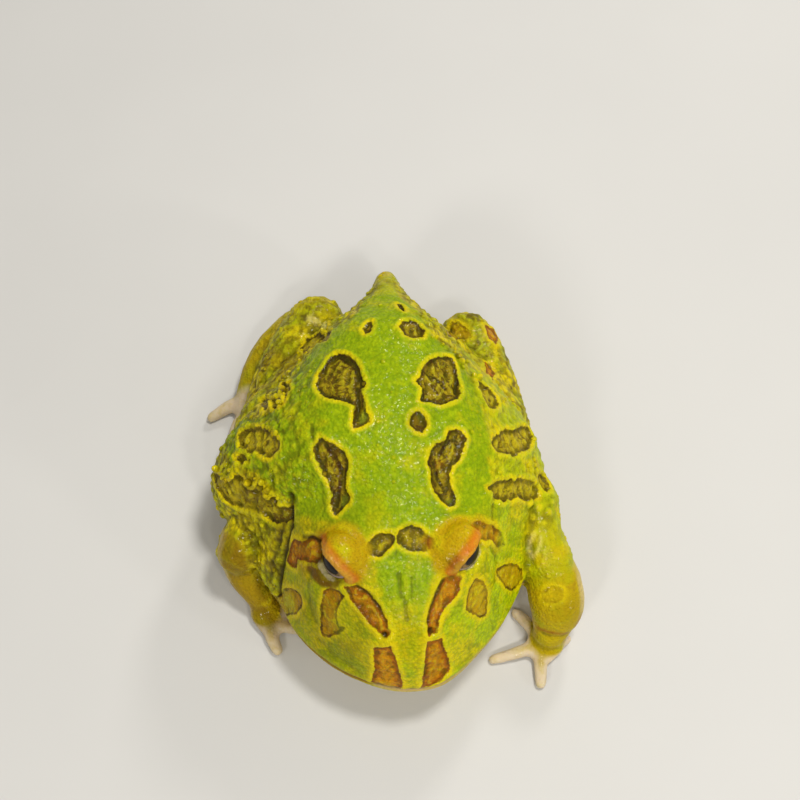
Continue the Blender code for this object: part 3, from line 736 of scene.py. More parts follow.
# %% Fingers, toes and legs
PALMS = [(556, 640), (254, 604)]
toes = np.where(x < 0, ramp(24.0 - y, -2.0, 3.0), ramp(17.5 - y, -2.0, 3.0))
digits = paws * np.where(y > 0, toes, ramp(3.6 - z, 0.0, 1.8))
for u, v in PALMS:
    digits = digits * ramp(away_from(u, v), 2.5, 5.5)
legs = np.clip(mask(["thigh", "shank", "foot"], 6) - digits, 0.0, 1.0)
print("share of the digits:", round(float(digits.mean()), 3))

# %% Green, rear and underside
under = ramp(-nz, -0.25, 0.55) * ramp(12.0 - z, 0.0, 6.0)
green = ramp(-back_field, -1.6, 1.6) * ramp(z, 12.0, 20.0)
green = np.maximum(green, torso_part * ramp(y, 31.0, 37.0) * ramp(z, 8.0, 12.0))
green = green * (1.0 - shoulder_skin)
shoulder_skin = shoulder_skin * (1.0 - smooth_arm)
arms = np.maximum(arms, smooth_arm * (shoulders + arms > 0.3))
rear = torso_part * ramp(y, 27.0, 40.0)
# the lower jaw carries no markings: there, every point counts as further outside them
off_jaw = 3.0 * ramp(jaw, 0.3, 0.8)
ring_field = ring_field + off_jaw
rusty_field = rusty_field + off_jaw
print("green share of the skin:", round(float(green.mean()), 2))

# %% [markdown]
# ## Folds, lips, lids and warts
# Now the surface itself is worked, as a sculptor would after blocking out: first the big folds,
# then grooves, then grain. Each step is a height in millimetres, kept in a table of its own and
# added along the normals at the end. A sculpting brush would do it by eye, but heights made from
# lines can be moved and measured.

# %% [markdown]
# The mouth is a long line round the head, between two soft rolls, the lips. The solids already
# part there, so the line only deepens the furrow and swells the lips. It is given by its height at
# a few places along the head, and read between them.

# %% The mouth line and its lips
MOUTH = [
    # y and z in mm, from the corner of the mouth to the snout
    (-18.0, 11.3), (-22.0, 11.2), (-26.0, 11.3), (-30.0, 11.6), (-34.0, 11.9), (-37.5, 12.2),
    (-40.0, 12.5), (-42.6, 12.8)]
rise = z - np.interp(y, *np.transpose(MOUTH[::-1]))
sidewards = 1.0 - np.abs(nz)
at_mouth = ramp(-y, 15.0, 19.0) * ramp(sidewards, 0.1, 0.4) * np.clip(head_part + jaw, 0, 1)
lip_groove = at_mouth * bell(rise, 0.42)
lip_roll = at_mouth * (bell(rise - 1.5, 0.9) + 0.8 * bell(rise + 1.3, 0.8))
print("points along the lips:", int((lip_roll > 0.5).sum()))

# %% [markdown]
# The skin is cut by creases: behind the head, at the armpit, wrist and hip, round the lids, along the
# bars of the snout. Each is a line of pixels with a depth, a width, and an amount of painted shade
# for the shader, because a deep crease is darker than a lamp alone would make it.

# %% Creases
CREASES = {
    # line in pixels, depth and width in mm, how much painted shade lies in it
    "neck_right": (
        [(290, 496), (290, 510), (290, 524), (287, 542), (282, 560), (278, 578), (277, 594)],
        1.0, 0.9, 0.75),
    "neck_right_b": ([(284, 524), (279, 540), (274, 556), (270, 574)], 0.5, 0.9, 0.6),
    "behind_eye": ([(303, 538), (311, 537), (318, 541)], 0.6, 0.6, 0.75),
    "neck_left": ([(495, 500), (494, 510), (494, 520), (497, 530)], 0.45, 0.7, 0.32),
    "lid_left": ([(438, 567), (433, 554), (434, 540), (440, 529), (450, 521)], 0.30, 0.55, 0.30),
    "lid_right": ([(366, 560), (366, 548), (360, 535), (350, 527)], 0.20, 0.55, 0.18),
    "lid_corner": ([(319, 542), (320, 550), (319, 558)], 0.5, 0.9, 0.7),
    "armpit": ([(528, 538), (531, 552), (534, 566)], 0.4, 0.7, 0.35),
    "wrist_left": ([(543, 634), (552, 637), (562, 637), (572, 633)], 0.35, 0.6, 0.22),
    "hip": ([(259, 366), (254, 384), (251, 400)], 0.45, 0.6, 0.65),
    "above_shoulder": ([(312, 424), (312, 432), (313, 440), (316, 446)], 0.4, 0.45, 0.55),
    "bar_edge_right": ([(357, 586), (369, 594), (378, 606), (386, 621)], 0.5, 0.42, 0.7),
    "bar_edge_left": ([(443, 580), (437, 592), (431, 608), (428, 622)], 0.5, 0.42, 0.7),
    "cheek_right": ([(310, 574), (307, 590), (309, 608), (314, 622)], 0.4, 0.9, 0.3),
    "cheek_right_b": ([(318, 640), (330, 652), (346, 664), (360, 674)], 0.3, 0.8, 0.25),
    "cheek_left": ([(494, 552), (499, 566), (496, 582)], 0.3, 0.9, 0.25),
    "snout_a": ([(399, 575), (400, 585), (401, 596)], 0.55, 0.62, 0.28),
    "snout_b": ([(405, 600), (406, 610), (407, 620)], 0.45, 0.60, 0.22),
    "snout_c": ([(412, 578), (412, 590), (411, 600)], 0.30, 0.50, 0.12),
}
crease = np.zeros(COUNT)
cut = np.zeros(COUNT)
for line, depth, width, shade in CREASES.values():
    shape = bell(line_distance(line), width)
    cut += depth * shape
    crease = np.maximum(crease, shape * shade)
print("deepest crease", round(float(cut.max()), 2), "mm")

# %% [markdown]
# The large dark patches aren't flat. Dark folds run along them, mostly near one edge, and at the
# tips of some lies a smooth greenish lobe. Pale stretched folds of skin cross the armpit, the knee
# and the neck, and these stand up.

# %% Folds in the dark patches


def bells(lines):
    """The highest of the bells round some lines, each given with its width."""
    made = np.zeros(COUNT)
    for line, width in lines:
        made = np.maximum(made, bell(line_distance(line), width))
    return made


PATCH_FOLDS = [
    # line in pixels, width of the fold in mm
    ([(336, 353), (345, 359), (354, 365), (360, 376), (363, 385)], 0.75),
    ([(357, 387), (358, 396), (359, 407), (356, 419)], 0.50),
    ([(314, 388), (328, 396), (341, 398), (352, 401)], 0.55),
    ([(325, 444), (334, 456), (340, 468), (340, 482), (338, 494), (336, 506)], 0.60),
    ([(316, 447), (318, 458), (325, 470)], 0.45),
    ([(441, 453), (447, 443), (455, 439), (459, 447)], 0.55),
    ([(434, 462), (438, 478), (446, 492)], 0.45),
    ([(417, 380), (423, 391), (421, 400), (436, 404)], 0.55),
    ([(455, 360), (459, 376), (457, 392)], 0.45),
    ([(428, 372), (438, 378), (446, 388)], 0.40),
]
patch_fold = bells(PATCH_FOLDS)
print(len(PATCH_FOLDS), "dark folds")

# %% Lobes at the tips of the patches
LOBES = [
    [(342, 496), (347, 494), (350, 500), (347, 508), (341, 512), (340, 504)],
    [(361, 411), (367, 409), (369, 416), (365, 423), (359, 424), (359, 417)],
    [(446, 500), (453, 499), (456, 505), (450, 508)],
    [(418, 406), (424, 404), (427, 413), (424, 420), (418, 417)],
]
lobe = np.zeros(COUNT)
for outline in LOBES:
    lobe = np.maximum(lobe, ramp(-skin_distance(outline), -0.35, 0.35))
print(len(LOBES), "lobes")

# %% Pale folds
PALE_FOLDS = [
    # line in pixels, width in mm
    ([(534, 534), (530, 541), (529, 549), (533, 557)], 0.42),
    ([(541, 537), (540, 546), (536, 554)], 0.30),
    # partly a painted highlight on a glossy fold of the knee
    ([(310, 319), (318, 323), (326, 328)], 0.7),
    ([(291, 531), (290, 538), (287, 546)], 0.35),
]
pale_fold = bells(PALE_FOLDS)
print(len(PALE_FOLDS), "pale folds")

# %% Single warts behind the arms
WARTS = [
    # pixel, size in mm
    (529, 504, 1.0), (539, 507, 1.2), (549, 512, 1.1), (544, 523, 0.8), (533, 518, 0.8),
    (552, 502, 0.8), (523, 526, 0.7), (252, 527, 1.0), (246, 520, 0.9), (259, 534, 0.8),
    (262, 524, 0.8)]
wart = np.zeros(COUNT)
wart_foot = np.zeros(COUNT)
for u, v, size in WARTS:
    away = away_from(u, v)
    wart = np.maximum(wart, size * ramp(size - away, 0.0, size))
    wart_foot = np.maximum(wart_foot, bell(away - 1.3 * size, 0.7))
print(len(WARTS), "warts")

# %% [markdown]
# Round each eye the lids form a thick roll. Its place is found from the eye itself: how far a
# point lies ahead of the middle of the ball, along the direction in which the lid opens, and how
# far away it is. The upper lid carries a coloured rim, the lower one is a pale thin edge.

# %% The two eyes
EYE_RADIUS = 4.3
EYE_CENTRES = {"eye_right": (-9.8, -22.4, 27.2), "eye_left": (9.1, -21.9, 27.2)}
EYE_LOOKS = {"eye_right": (-0.78, -0.50, -0.30), "eye_left": (0.78, -0.50, -0.30)}
LID_EDGE = 2.1  # mm ahead of the middle of the ball
LID_BULGE = 0.35  # mm, how far the upper lid comes forwards
LOWER_DROP = 0.65  # mm, how far the lower lid sinks
EYE_GAP = 0.03  # mm between lid and ball


def unit(way):
    """A direction with the length 1."""
    return np.array(way, float) / np.linalg.norm(way)


print("eyes", round(2 * EYE_RADIUS, 1), "mm across")

# %% What lies round the eyes
lid_rim, lid_inside, lid_roll, lower_lid, pale_lid, socket, opening = np.zeros((7, COUNT))
PALE_WIDTH = {"eye_right": 1.25, "eye_left": 0.80}
for name, centre in EYE_CENTRES.items():
    away = points - centre
    far = np.linalg.norm(away, axis=1)
    ahead = away @ unit(EYE_LOOKS[name])
    upper = lids * ramp(9.0 - far, 0.0, 1.5)
    lid_rim = np.maximum(lid_rim, upper * ramp(ahead, LID_EDGE - 3.3, LID_EDGE - 0.5))
    roof = ramp(away[:, 2] / far, 0.05, 0.30) * ramp(EYE_RADIUS + 1.9 - far, 0.0, 0.9)
    lid_inside = np.maximum(lid_inside, roof * ramp(ahead, 0.5, 2.0) * (lids > 0.2))
    lid_roll = np.maximum(lid_roll, upper * bell(ahead - LID_EDGE + 0.4, 0.9))
    below = (1.0 - lids) * ramp(ahead, -0.5, 2.0)
    band = ramp(ahead, 0.2, 1.6) * ramp(-away[:, 2] / far, -0.05, 0.20)
    band = band * ramp(EYE_RADIUS + PALE_WIDTH[name] - far, 0.0, 0.45)
    pale_lid = np.maximum(pale_lid, np.clip(1.0 - 2.0 * lids, 0.0, 1.0) * band)
    lower_lid = np.maximum(lower_lid, below * bell(far - EYE_RADIUS - 0.9, 0.9))
    socket = np.maximum(socket, ramp(EYE_RADIUS + 0.35 - far, 0.0, 0.25))
    opening = np.maximum(opening, ramp(ahead, LID_EDGE - 2.6, LID_EDGE - 1.4) * ramp(8.0 - far, 0, 1))
print("points in the sockets:", int((socket > 0.5).sum()))

# %% [markdown]
# A nostril is a small pit with a raised rim. A boolean could cut it, but at half a millimetre a
# bell pressed into the skin does the same, and it leaves the net whole.

# %% Nostrils
NOSTRILS = [(384.0, 635.5), (431.5, 631.5)]
nostril_rim, nostril_pit = np.zeros((2, COUNT))
for u, v in NOSTRILS:
    away = away_from(u, v)
    nostril_rim = np.maximum(nostril_rim, bell(away - 1.15, 0.45))
    nostril_pit = np.maximum(nostril_pit, bell(away, 0.65))
print(len(NOSTRILS), "nostrils")

# %% [markdown]
# ## Grain and wrinkles
# The back of the frog is finely grained, the flanks are covered with warts, and the dark patches are
# wrinkled. Three kinds of noise make them: a smooth one for lumps, the same one folded at zero for
# wrinkles, and rounded cells for warts. The noise is worked out for each point, so that the form is
# real in the mesh itself.

# %% Noise on the skin
CELL_SHARP = 1.6  # the larger it is, the smaller are the warts and the wider the gaps


def field_noise(scale, stretch=(1.0, 1.0, 1.0), seed=0.0):
    """Smooth noise between -1 and 1; scale is the size of its lumps in mm."""
    shrink = np.array(stretch) / scale
    return np.array([noise.noise(Vector(p)) for p in points * shrink + seed])


def cell_noise(scale):
    """Rounded cells: 1 in their middles and 0 at their borders."""
    made = [noise.voronoi(Vector(p))[0] for p in points / scale]
    return np.clip(1.0 - np.array([m[0] for m in made]) * CELL_SHARP, 0.0, 1.0)


broad = field_noise(9.0)
lumps = field_noise(2.6, seed=7.0)
wrinkles = 1.0 - np.abs(field_noise(1.5, (1.0, 0.6, 1.0), seed=3.0)) * 2.6
cells = cell_noise(1.6)
lid_grain = field_noise(1.0, seed=5.0)
gaps_in_creases = ramp(field_noise(1.8, seed=11.0), -0.75, -0.05)
crease = crease * gaps_in_creases
print("noise between", round(float(broad.min()), 2), "and", round(float(broad.max()), 2))

# %% [markdown]
# The warts of the flanks push into the dark patches that lie there, so the edges of those patches
# are scalloped. The cells that will raise the warts are added to the distance field of the olive
# patches, and only away from the middle of the back, where the edges are smooth.

# %% Scalloped edges
SCALLOP = 0.55  # mm
olive_field = olive_field + SCALLOP * ramp(np.abs(x), 11.5, 15.0) * (cells - 0.30)
print("points inside olive patches:", int((olive_field < 0).sum()))

# %% [markdown]
# Warts cover the flanks, the upper arms and the thighs. The right flank is the roughest, as in the
# photograph, the left one is calmer, and the green back is nearly free of them.

# %% Where the warts are
middle = ramp(18.0 - np.abs(x), 0.0, 8.0)
warty = torso_part * (1.0 - green * (0.35 + 0.5 * middle)) * ramp(z, 5.0, 10.0)
warty += shoulders * np.where(x < 0, 0.8, 0.45) + 0.6 * legs * ramp(z, 5.0, 9.0)
right_flank = np.clip(torso_part * ramp(-x, 16.0, 22.0) * ramp(20.0 - y, 0.0, 8.0), 0.0, 1.0)
warty = np.maximum(np.maximum(warty, right_flank), 0.9 * shoulder_skin)
left_side = ramp(x, 10.0, 15.0)
warty = warty * (1.0 - smooth_arm) * (1.0 - 0.35 * left_side * torso_part)
warty = np.clip(smoothed(warty, 5), 0.0, 1.0)
print("warty share:", round(float((warty > 0.5).mean()), 2))

# %% [markdown]
# ## All heights together
# The dark patches sink a little below their yellow borders, the rims of lids and nostrils stand
# up, and creases and mouth are cut in. The table says how much each one adds. Hands and sockets
# are kept quiet, because they are smooth on a real frog.

# %% Add up the relief
patch = ramp(-olive_field, -0.05, 0.30)
rust = ramp(-rusty_field, -0.05, 0.30)
ring = ramp(-ring_field, -0.05, 0.30)
border = bell(olive_field - 0.6, 0.45) * (1.0 - patch)
rust_border = bell(rusty_field - 0.5, 0.4) * (1.0 - rust)
quiet = (1.0 - paws) * (1.0 - socket) * (1.0 - 0.6 * arms)
RELIEF = [
    # height in mm, what carries it
    (0.16, broad * quiet),
    (0.18, lumps * quiet * (0.35 + 0.65 * warty)),
    (0.60, cells * warty * (1.0 - 0.6 * patch)),
    (-0.55, patch),
    (0.34, patch * wrinkles),
    (-0.35, patch * patch_fold),
    (0.26, border),
    (-0.36, rust),
    (0.24, rust * wrinkles),
    (0.16, rust_border),
    (-0.24, ring),
    (0.16, ring * wrinkles),
    (-1.0, cut),
    (0.40, pale_fold),
    (0.42, wart),
    (-0.55, lip_groove),
    (0.22, lip_roll),
    (0.34, lid_roll),
    (0.46, lower_lid),
    (0.16, nostril_rim),
    (-0.75, nostril_pit),
]
height = sum(amount * carrier for amount, carrier in RELIEF)
points = points + SKIN_NORMALS * height[:, None]
print("heights from", round(float(height.min()), 2), "to", round(float(height.max()), 2), "mm")

# %% [markdown]
# The solids leave a narrow gap between lid and eye. Three moves close it: the upper lid bulges
# forwards over the ball, the lower one sinks a little so that more of the eye shows, and whatever
# lies near the ball is drawn towards it, without ever going in.

# %% Draw the lids' edges to the eyes
for name, centre in EYE_CENTRES.items():
    look = unit(EYE_LOOKS[name])
    # the upper lid comes forwards
    away = points - centre
    ahead = away @ look
    aside = np.linalg.norm(away - ahead[:, None] * look, axis=1)
    along = unit(np.cross(look, (0.0, 0.0, 1.0)))
    bow = bell(away @ along, 3.2) * ramp(ahead, LID_EDGE - 3.2, LID_EDGE - 0.4)
    bow = smoothed(bow * lids * ramp(aside, 2.0, 3.2) * (aside < 9.0), 2)
    points = points + (LID_BULGE * bow)[:, None] * look
    # the lower lid sinks
    away = points - centre
    far = np.linalg.norm(away, axis=1)
    radial = away / far[:, None]
    down = radial * radial[:, 2:] - np.array((0.0, 0.0, 1.0))
    drop = (1.0 - lids) * ramp(ahead, 0.0, 1.5) * bell(np.maximum(far - EYE_RADIUS, 0.0), 1.3)
    drop = smoothed(drop * ramp(radial[:, 2], -0.6, -0.1), 2)
    points = points + (LOWER_DROP * drop)[:, None] * down
    # what is near the ball is drawn towards it
    away = points - centre
    far = np.linalg.norm(away, axis=1)
    close = np.maximum(far - EYE_RADIUS, EYE_GAP)
    close = np.maximum(close - 0.75 * bell(close, 1.1), EYE_GAP)
    held = np.where(far < EYE_RADIUS + 3.5, (EYE_RADIUS + close) / np.maximum(far, 1e-6), 1.0)
    points = centre + away * held[:, None]
    nearest_gap = np.linalg.norm(points - centre, axis=1).min() - EYE_RADIUS
    print(name, "is cleared by", round(float(nearest_gap), 3), "mm")

# %% [markdown]
# Lid and head are two solids, and the step between them would look like a cap that was put on. The
# points along that seam are averaged with their neighbours many times, and all others stay: the
# step melts away, and only the opening keeps its edge.

# %% Melt the lids into the head
MELTING = 45  # rounds of averaging
ROUNDING = 5
seam = smoothed(4.0 * lids * (1.0 - lids), 3) * (1.0 - opening)
seam = np.clip(seam * 2.0, 0.0, 0.9)[:, None]
for _ in range(MELTING):
    points = points + seam * (averaged(points) - points)
points = points + 0.3 * (smoothed(points, 1, 0.3) - points)
round_off = smoothed(np.clip(lid_roll + 0.6 * lids, 0.0, 1.0), 2)[:, None]
for _ in range(ROUNDING):
    points = points + 0.6 * round_off * (averaged(points) - points)
print("lids melted over", int((seam > 0.2).sum()), "points")

# %% Keep clear of the eyes and the floor
CLEAR = EYE_RADIUS + EYE_GAP
LOWEST = 0.02  # mm above the floor
LID_ROUGH = 0.09  # mm
for centre in EYE_CENTRES.values():
    away = points - centre
    far = np.linalg.norm(away, axis=1)[:, None]
    points = np.where(far < CLEAR, centre + away * CLEAR / far, points)
points = points + SKIN_NORMALS * (LID_ROUGH * lid_grain * np.clip(lids * 1.5, 0.0, 1.0))[:, None]
points[:, 2] = np.maximum(points[:, 2], LOWEST)
set_points(skin_mesh, points)
for polygon in skin_mesh.polygons:
    polygon.use_smooth = True
print("lowest point", round(float(points[:, 2].min()), 2), "mm")

# %% [markdown]
# In the hollows of real skin less light arrives, so they look darker, and the tops look lighter.
# How far a point lies below the mean of its neighbours tells which it is.

# %% Hollows and tops
HOLLOW_SCALE = 0.045  # mm, the depth that counts as 1
inward = ((averaged(points) - points) * normals_of(skin_mesh)).sum(1)
hollow = smoothed(inward, 1) / HOLLOW_SCALE
print("hollows from", round(float(hollow.min()), 2), "to", round(float(hollow.max()), 2))

# %% [markdown]
# ## Handing the fields to the shader
# Attributes are numbers stored on the points of a mesh. The shader reads them by name, so the same
# outlines that shaped the skin also colour it. The field tip is 0 all over the skin: it belongs to
# the tubercles, which will take over the skin's fields and material.

# %% Zones for the shader
mottle = np.clip((1.0 - green) * (torso_part + legs + shoulders) * (1.0 - under), 0.0, 1.0)
mottle = mottle * np.where(x > 0, 0.55 + 0.45 * legs, 1.0)
light_side = ramp(x, 12.0, 18.0) * (torso_part + shoulders) * (1.0 - legs)
light_side = np.clip(light_side, 0.0, 1.0)
yellow_head = np.clip(head_part * (1.0 - green) * (1.0 - shoulder_skin), 0.0, 1.0)
snout = green * head_part * ramp(-y, 29.0, 38.0)
pale_edge = 0.75 * arms * ramp(np.abs(nx), 0.66, 1.0) * (nx * x > 0) * (y < -4.0)
cream = np.maximum(under * (1.0 - 0.5 * legs), 0.6 * pale_fold)
cream = np.clip(np.maximum(cream, pale_edge), 0, 1)
print("share of the mottled skin:", round(float(mottle.mean()), 2))

# %% Lips and deep places
edge_line = at_mouth * bell(rise + 0.3, 1.0)
# on the right the mouth's edge gets the painted shade of the lip's underside
edge_right = edge_line * ramp(-x, 4.0, 9.0)
# painted shade in creases, the lip groove, the nostril pits and round the eye sockets
deep_shade = np.clip(crease + lip_groove * 0.8 + nostril_pit + socket, 0.0, 1.0)
print("points in deep places:", int((deep_shade > 0.5).sum()))

# %% [markdown]
# No real skin has one colour all over. In some places the photograph is darker, lighter, greener or
# more golden than its surroundings, and a few spots and thin lines are reddish. The darker and
# lighter spots are partly the skin's own tone and partly painted shade and painted light. Each such
# place is a soft spot: a pixel, a reach and an amount. Painting by hand would be as quick, but these
# numbers can still be changed when the skin under them is.

# %% Soft spots


def spotted(spots):
    """The highest of some soft spots, each 0 at its reach."""
    made = np.zeros(COUNT)
    for u, v, reach, amount in spots:
        made = np.maximum(made, amount * ramp(reach - away_from(u, v), 0.0, 0.8 * reach))
    return made


TONES = {
    # pixel, reach in mm, how much
    # darker spots: partly the skin's own tone, partly painted shade
    "dark_tone_and_shade": [
        (417, 422, 2.8, 0.50), (250, 498, 5.0, 0.42), (287, 362, 5.0, 0.50),
        (303, 548, 4.0, 0.40), (366, 610, 3.5, 0.30), (235, 560, 6.0, 0.35), (262, 620, 5.0, 0.25),
        (288, 365, 6.0, 0.45), (270, 356, 4.0, 0.55), (284, 520, 3.0, 0.50), (281, 545, 3.0, 0.50),
        (276, 572, 3.0, 0.50), (569, 610, 5.0, 0.18), (455, 564, 2.5, 0.45), (345, 652, 6.0, 0.22),
        (310, 612, 4.0, 0.20), (434, 665, 4.0, 0.20), (530, 516, 2.5, 0.25), (546, 517, 2.0, 0.30),
        (498, 546, 1.8, 0.50)],
    # lighter spots: partly the skin's own tone, partly painted light
    "pale_tone_and_light": [
        (410, 540, 3.0, 0.16), (378, 546, 2.2, 0.14), (470, 532, 2.0, 0.10),
        (285, 300, 5.0, 0.60), (262, 314, 4.0, 0.60), (300, 297, 5.0, 0.55), (329, 316, 4.0, 0.45),
        (251, 515, 4.0, 0.60), (488, 530, 3.0, 0.40), (476, 597, 3.5, 0.25), (534, 480, 5.0, 0.35),
        (532, 522, 5.0, 0.35), (355, 650, 4.0, 0.20), (388, 290, 3.5, 0.25)],
    "tone_gold": [
        (556, 640, 5.5, 0.95), (563, 612, 6.0, 0.45), (556, 560, 6.0, 0.55),
        (550, 535, 6.0, 0.45)],
    "tone_green": [(288, 602, 3.2, 0.45), (503, 542, 3.5, 0.60), (343, 625, 4.0, 0.30)],
}
print({name: len(spots) for name, spots in TONES.items()})

# %% Reddened places
WRIST_LINE = [(538, 628), (545, 631), (554, 633), (564, 634), (574, 632), (582, 628)]
SHOULDER_LINE = [(330, 452), (335, 460), (338, 468), (340, 480), (338, 492)]
RED_SPOTS = [
    # pixel, reach in mm, how much
    (481, 524, 2.2, 0.45), (319, 541, 2.6, 0.80), (320, 552, 2.0, 0.70), (428, 543, 1.8, 0.70),
    (452, 582, 2.6, 0.45), (582, 622, 2.2, 0.40), (303, 566, 3.0, 0.30), (439, 464, 1.6, 0.35),
    (455, 565, 2.2, 0.28)]
redden = 0.85 * bell(line_distance(WRIST_LINE), 0.42) * arms
redden = np.maximum(redden, 0.55 * bell(line_distance(SHOULDER_LINE), 0.40))
redden = np.maximum(redden, spotted(RED_SPOTS))
print("points reddened:", int((redden > 0.3).sum()))

# %% Store them all


def store(mesh, name, values):
    """Keeps a number for each point of a mesh, under a name that a shader can read."""
    made = mesh.attributes.new(name, "FLOAT", "POINT")
    made.data.foreach_set("value", np.asarray(values, np.float32))


FIELDS = {
    "olive": olive_field,
    "rusty": rusty_field,
    "ringed": ring_field,
    "green": green,
    "cream": cream,
    "digits": digits,
    "mottle": mottle,
    "light_side": light_side,
    "golden": np.clip(rear + snout, 0.0, 1.0),
    "hollow": np.clip(hollow, -1.5, 1.5),
    "cheek_shade": yellow_head * ramp(-x, 4.0, 16.0),
    "patch_fold": patch_fold,
    "outer": ramp(np.abs(x), 12.5, 16.0) * (1.0 - head_part),
    "shade_side": head_part * ramp(-x, 1.0, 10.0) + 0.8 * arms * ramp(-x, 8.0, 14.0),
    **{name: spotted(spots) for name, spots in TONES.items()},
    "lobe": lobe,
    "redden": redden,
    "pale_lid": pale_lid,
    "wart": wart,
    "wart_foot": wart_foot * (1.0 - ramp(wart, 0.1, 0.4)),
    "left_side": left_side,
    "yellow_head": yellow_head,
    "arms": arms,
    "ruddy": arms * ramp(-x, 10.0, 14.0) * ramp(-y, 2.0, 6.0),
    "lid_top": np.clip(ramp(-lid_field, -1.5, 0.3) * ramp(z, 22.0, 25.0), 0.0, 1.0),
    "lid_rim": np.maximum(lid_rim * ramp(-lid_field, -3.0, -1.2), lid_inside),
    "lower_lid": pouch * (1.0 - lids),
    "lip_pale": edge_line - edge_right,
    "lip_shade": edge_right,
    "deep_shade": deep_shade,
    "warty": warty,
    "tip": np.zeros(COUNT),
}
for name, values in FIELDS.items():
    store(skin_mesh, name, values)
print(len(FIELDS), "fields on", COUNT, "points")

# %% [markdown]
# ## The skin's material
# One shader paints everything. It starts from two greens and lays the other colours over them, each
# through a mask, like thin coats of paint. That makes a long tree of nodes, so a few short helpers
# come first: each adds one node and gives back its output. All colours are in linear light, as the
# shader reckons with them, and each is defined where it is first laid on.

# %% Reading a field, and sums


def tree_of(*values):
    """The node tree of the first socket among some values."""
    return next(v for v in values if hasattr(v, "links")).id_data


def feed(slot, value):
    """Sets an input to a number or a colour, or joins it to a socket."""
    if hasattr(value, "links"):
        wire(value.id_data, value, slot)
    elif isinstance(value, tuple):
        slot.default_value = (*value, 1.0)
    else:
        slot.default_value = value


def reader(tree):
    """A function that reads the fields of the mesh in a material."""
    def read(name):
        made = put(tree, "ShaderNodeAttribute", attribute_type="GEOMETRY", attribute_name=name)
        return made.outputs["Fac"]
    return read


def reckon(kind, *values):
    """A step of arithmetic between sockets and numbers."""
    made = put(tree_of(*values), "ShaderNodeMath", operation=kind)
    for slot, value in zip(made.inputs, values):
        feed(slot, value)
    return made.outputs["Value"]


def times(first, second):
    """The product of two values."""
    return reckon("MULTIPLY", first, second)


def plus(first, second):
    """The sum of two values."""
    return reckon("ADD", first, second)


print("helpers: tree_of, feed, reader, reckon, times, plus")

# %% Steps and layers


def step(value, low, high, bottom=0.0, top=1.0):
    """A soft step of a value between two limits."""
    made = put(value.id_data, "ShaderNodeMapRange", interpolation_type="SMOOTHSTEP", Value=value)
    limits = {"From Min": low, "From Max": high, "To Min": bottom, "To Max": top}
    for name, limit in limits.items():
        made.inputs[name].default_value = limit
    return made.outputs["Result"]


def layer(under_it, over_it, share):
    """Lays one colour over another; either may be a colour or a socket."""
    made = put(tree_of(under_it, over_it, share), "ShaderNodeMix", data_type="RGBA")
    feed(made.inputs[6], under_it)
    feed(made.inputs[7], over_it)
    feed(made.inputs[0], share)
    return made.outputs[2]


print("helpers: step, layer")

# %% Noises


def grain_noise(place, size, detail=2.0, distort=0.0):
    """Noise whose lumps are about size millimetres across."""
    made = put(
        place.id_data, "ShaderNodeTexNoise",
        Vector=place, Scale=1.0 / (size * MM), Detail=detail, Distortion=distort)
    return made.outputs["Fac"]


def pearls(place, size):
    """Rounded grains about size millimetres across."""
    made = put(
        place.id_data, "ShaderNodeTexVoronoi",
        feature="SMOOTH_F1", Vector=place, Scale=1.0 / (size * MM), Smoothness=0.4)
    return made.outputs["Distance"]


print("helpers: grain_noise, pearls")

# %% The material and its noises
skin_paint, tree, shader = new_material("frog_skin")
read = reader(tree)
coords = tree.nodes.new("ShaderNodeTexCoord").outputs["Object"]
blotch = grain_noise(coords, 5.0, 3.0)
small = grain_noise(coords, 1.3, 3.0)
fine = grain_noise(coords, 0.35, 2.0)
brownish = grain_noise(coords, 3.2, 4.0, 0.8)
print(len(tree.nodes), "nodes so far")

# %% [markdown]
# The back is leaf green, here and there lighter or more yellow. The flanks are yellow with green
# and olive clouds and brown spots. Both are mixed from noises of a few millimetres, and the border
# between them is made uneven by adding noise to the mask.

# %% Green back and yellow flanks
LEAF = (0.245, 0.355, 0.001)
LEAF_LIGHT = (0.440, 0.540, 0.002)
LEAF_YELLOW = (0.600, 0.530, 0.002)
GOLD = (0.640, 0.450, 0.002)
FLANK_YELLOW = (0.680, 0.560, 0.003)
FLANK_GREEN = (0.380, 0.410, 0.002)
FLANK_OLIVE = (0.220, 0.165, 0.002)
FLANK_BROWN = (0.090, 0.048, 0.002)
colour = layer(LEAF, LEAF_LIGHT, step(small, 0.36, 0.74, 0.0, 0.65))
colour = layer(colour, LEAF_YELLOW, step(blotch, 0.50, 0.72, 0.0, 0.6))
side_colour = layer(FLANK_YELLOW, FLANK_GREEN, step(blotch, 0.38, 0.60, 0.0, 0.9))
side_colour = layer(side_colour, FLANK_OLIVE, step(small, 0.46, 0.68, 0.0, 0.7))
spots = times(step(brownish, 0.54, 0.64), read("mottle"))
side_colour = layer(side_colour, FLANK_BROWN, times(spots, 0.70))
# partly painted light: the frog's left flank is laid lighter and yellower, partly its own paler skin
bright_side = layer(LEAF_YELLOW, LEAF_LIGHT, step(blotch, 0.34, 0.52))
side_share = times(read("light_side"), 0.65)
side_colour = layer(side_colour, bright_side, side_share)
gold = times(read("golden"), step(blotch, 0.30, 0.62, 0.35, 0.9))
colour = layer(colour, GOLD, gold)
green_mask = plus(read("green"), step(blotch, 0.3, 0.7, -0.25, 0.25))
colour = layer(side_colour, colour, step(green_mask, 0.25, 0.75))
print(len(tree.nodes), "nodes so far")
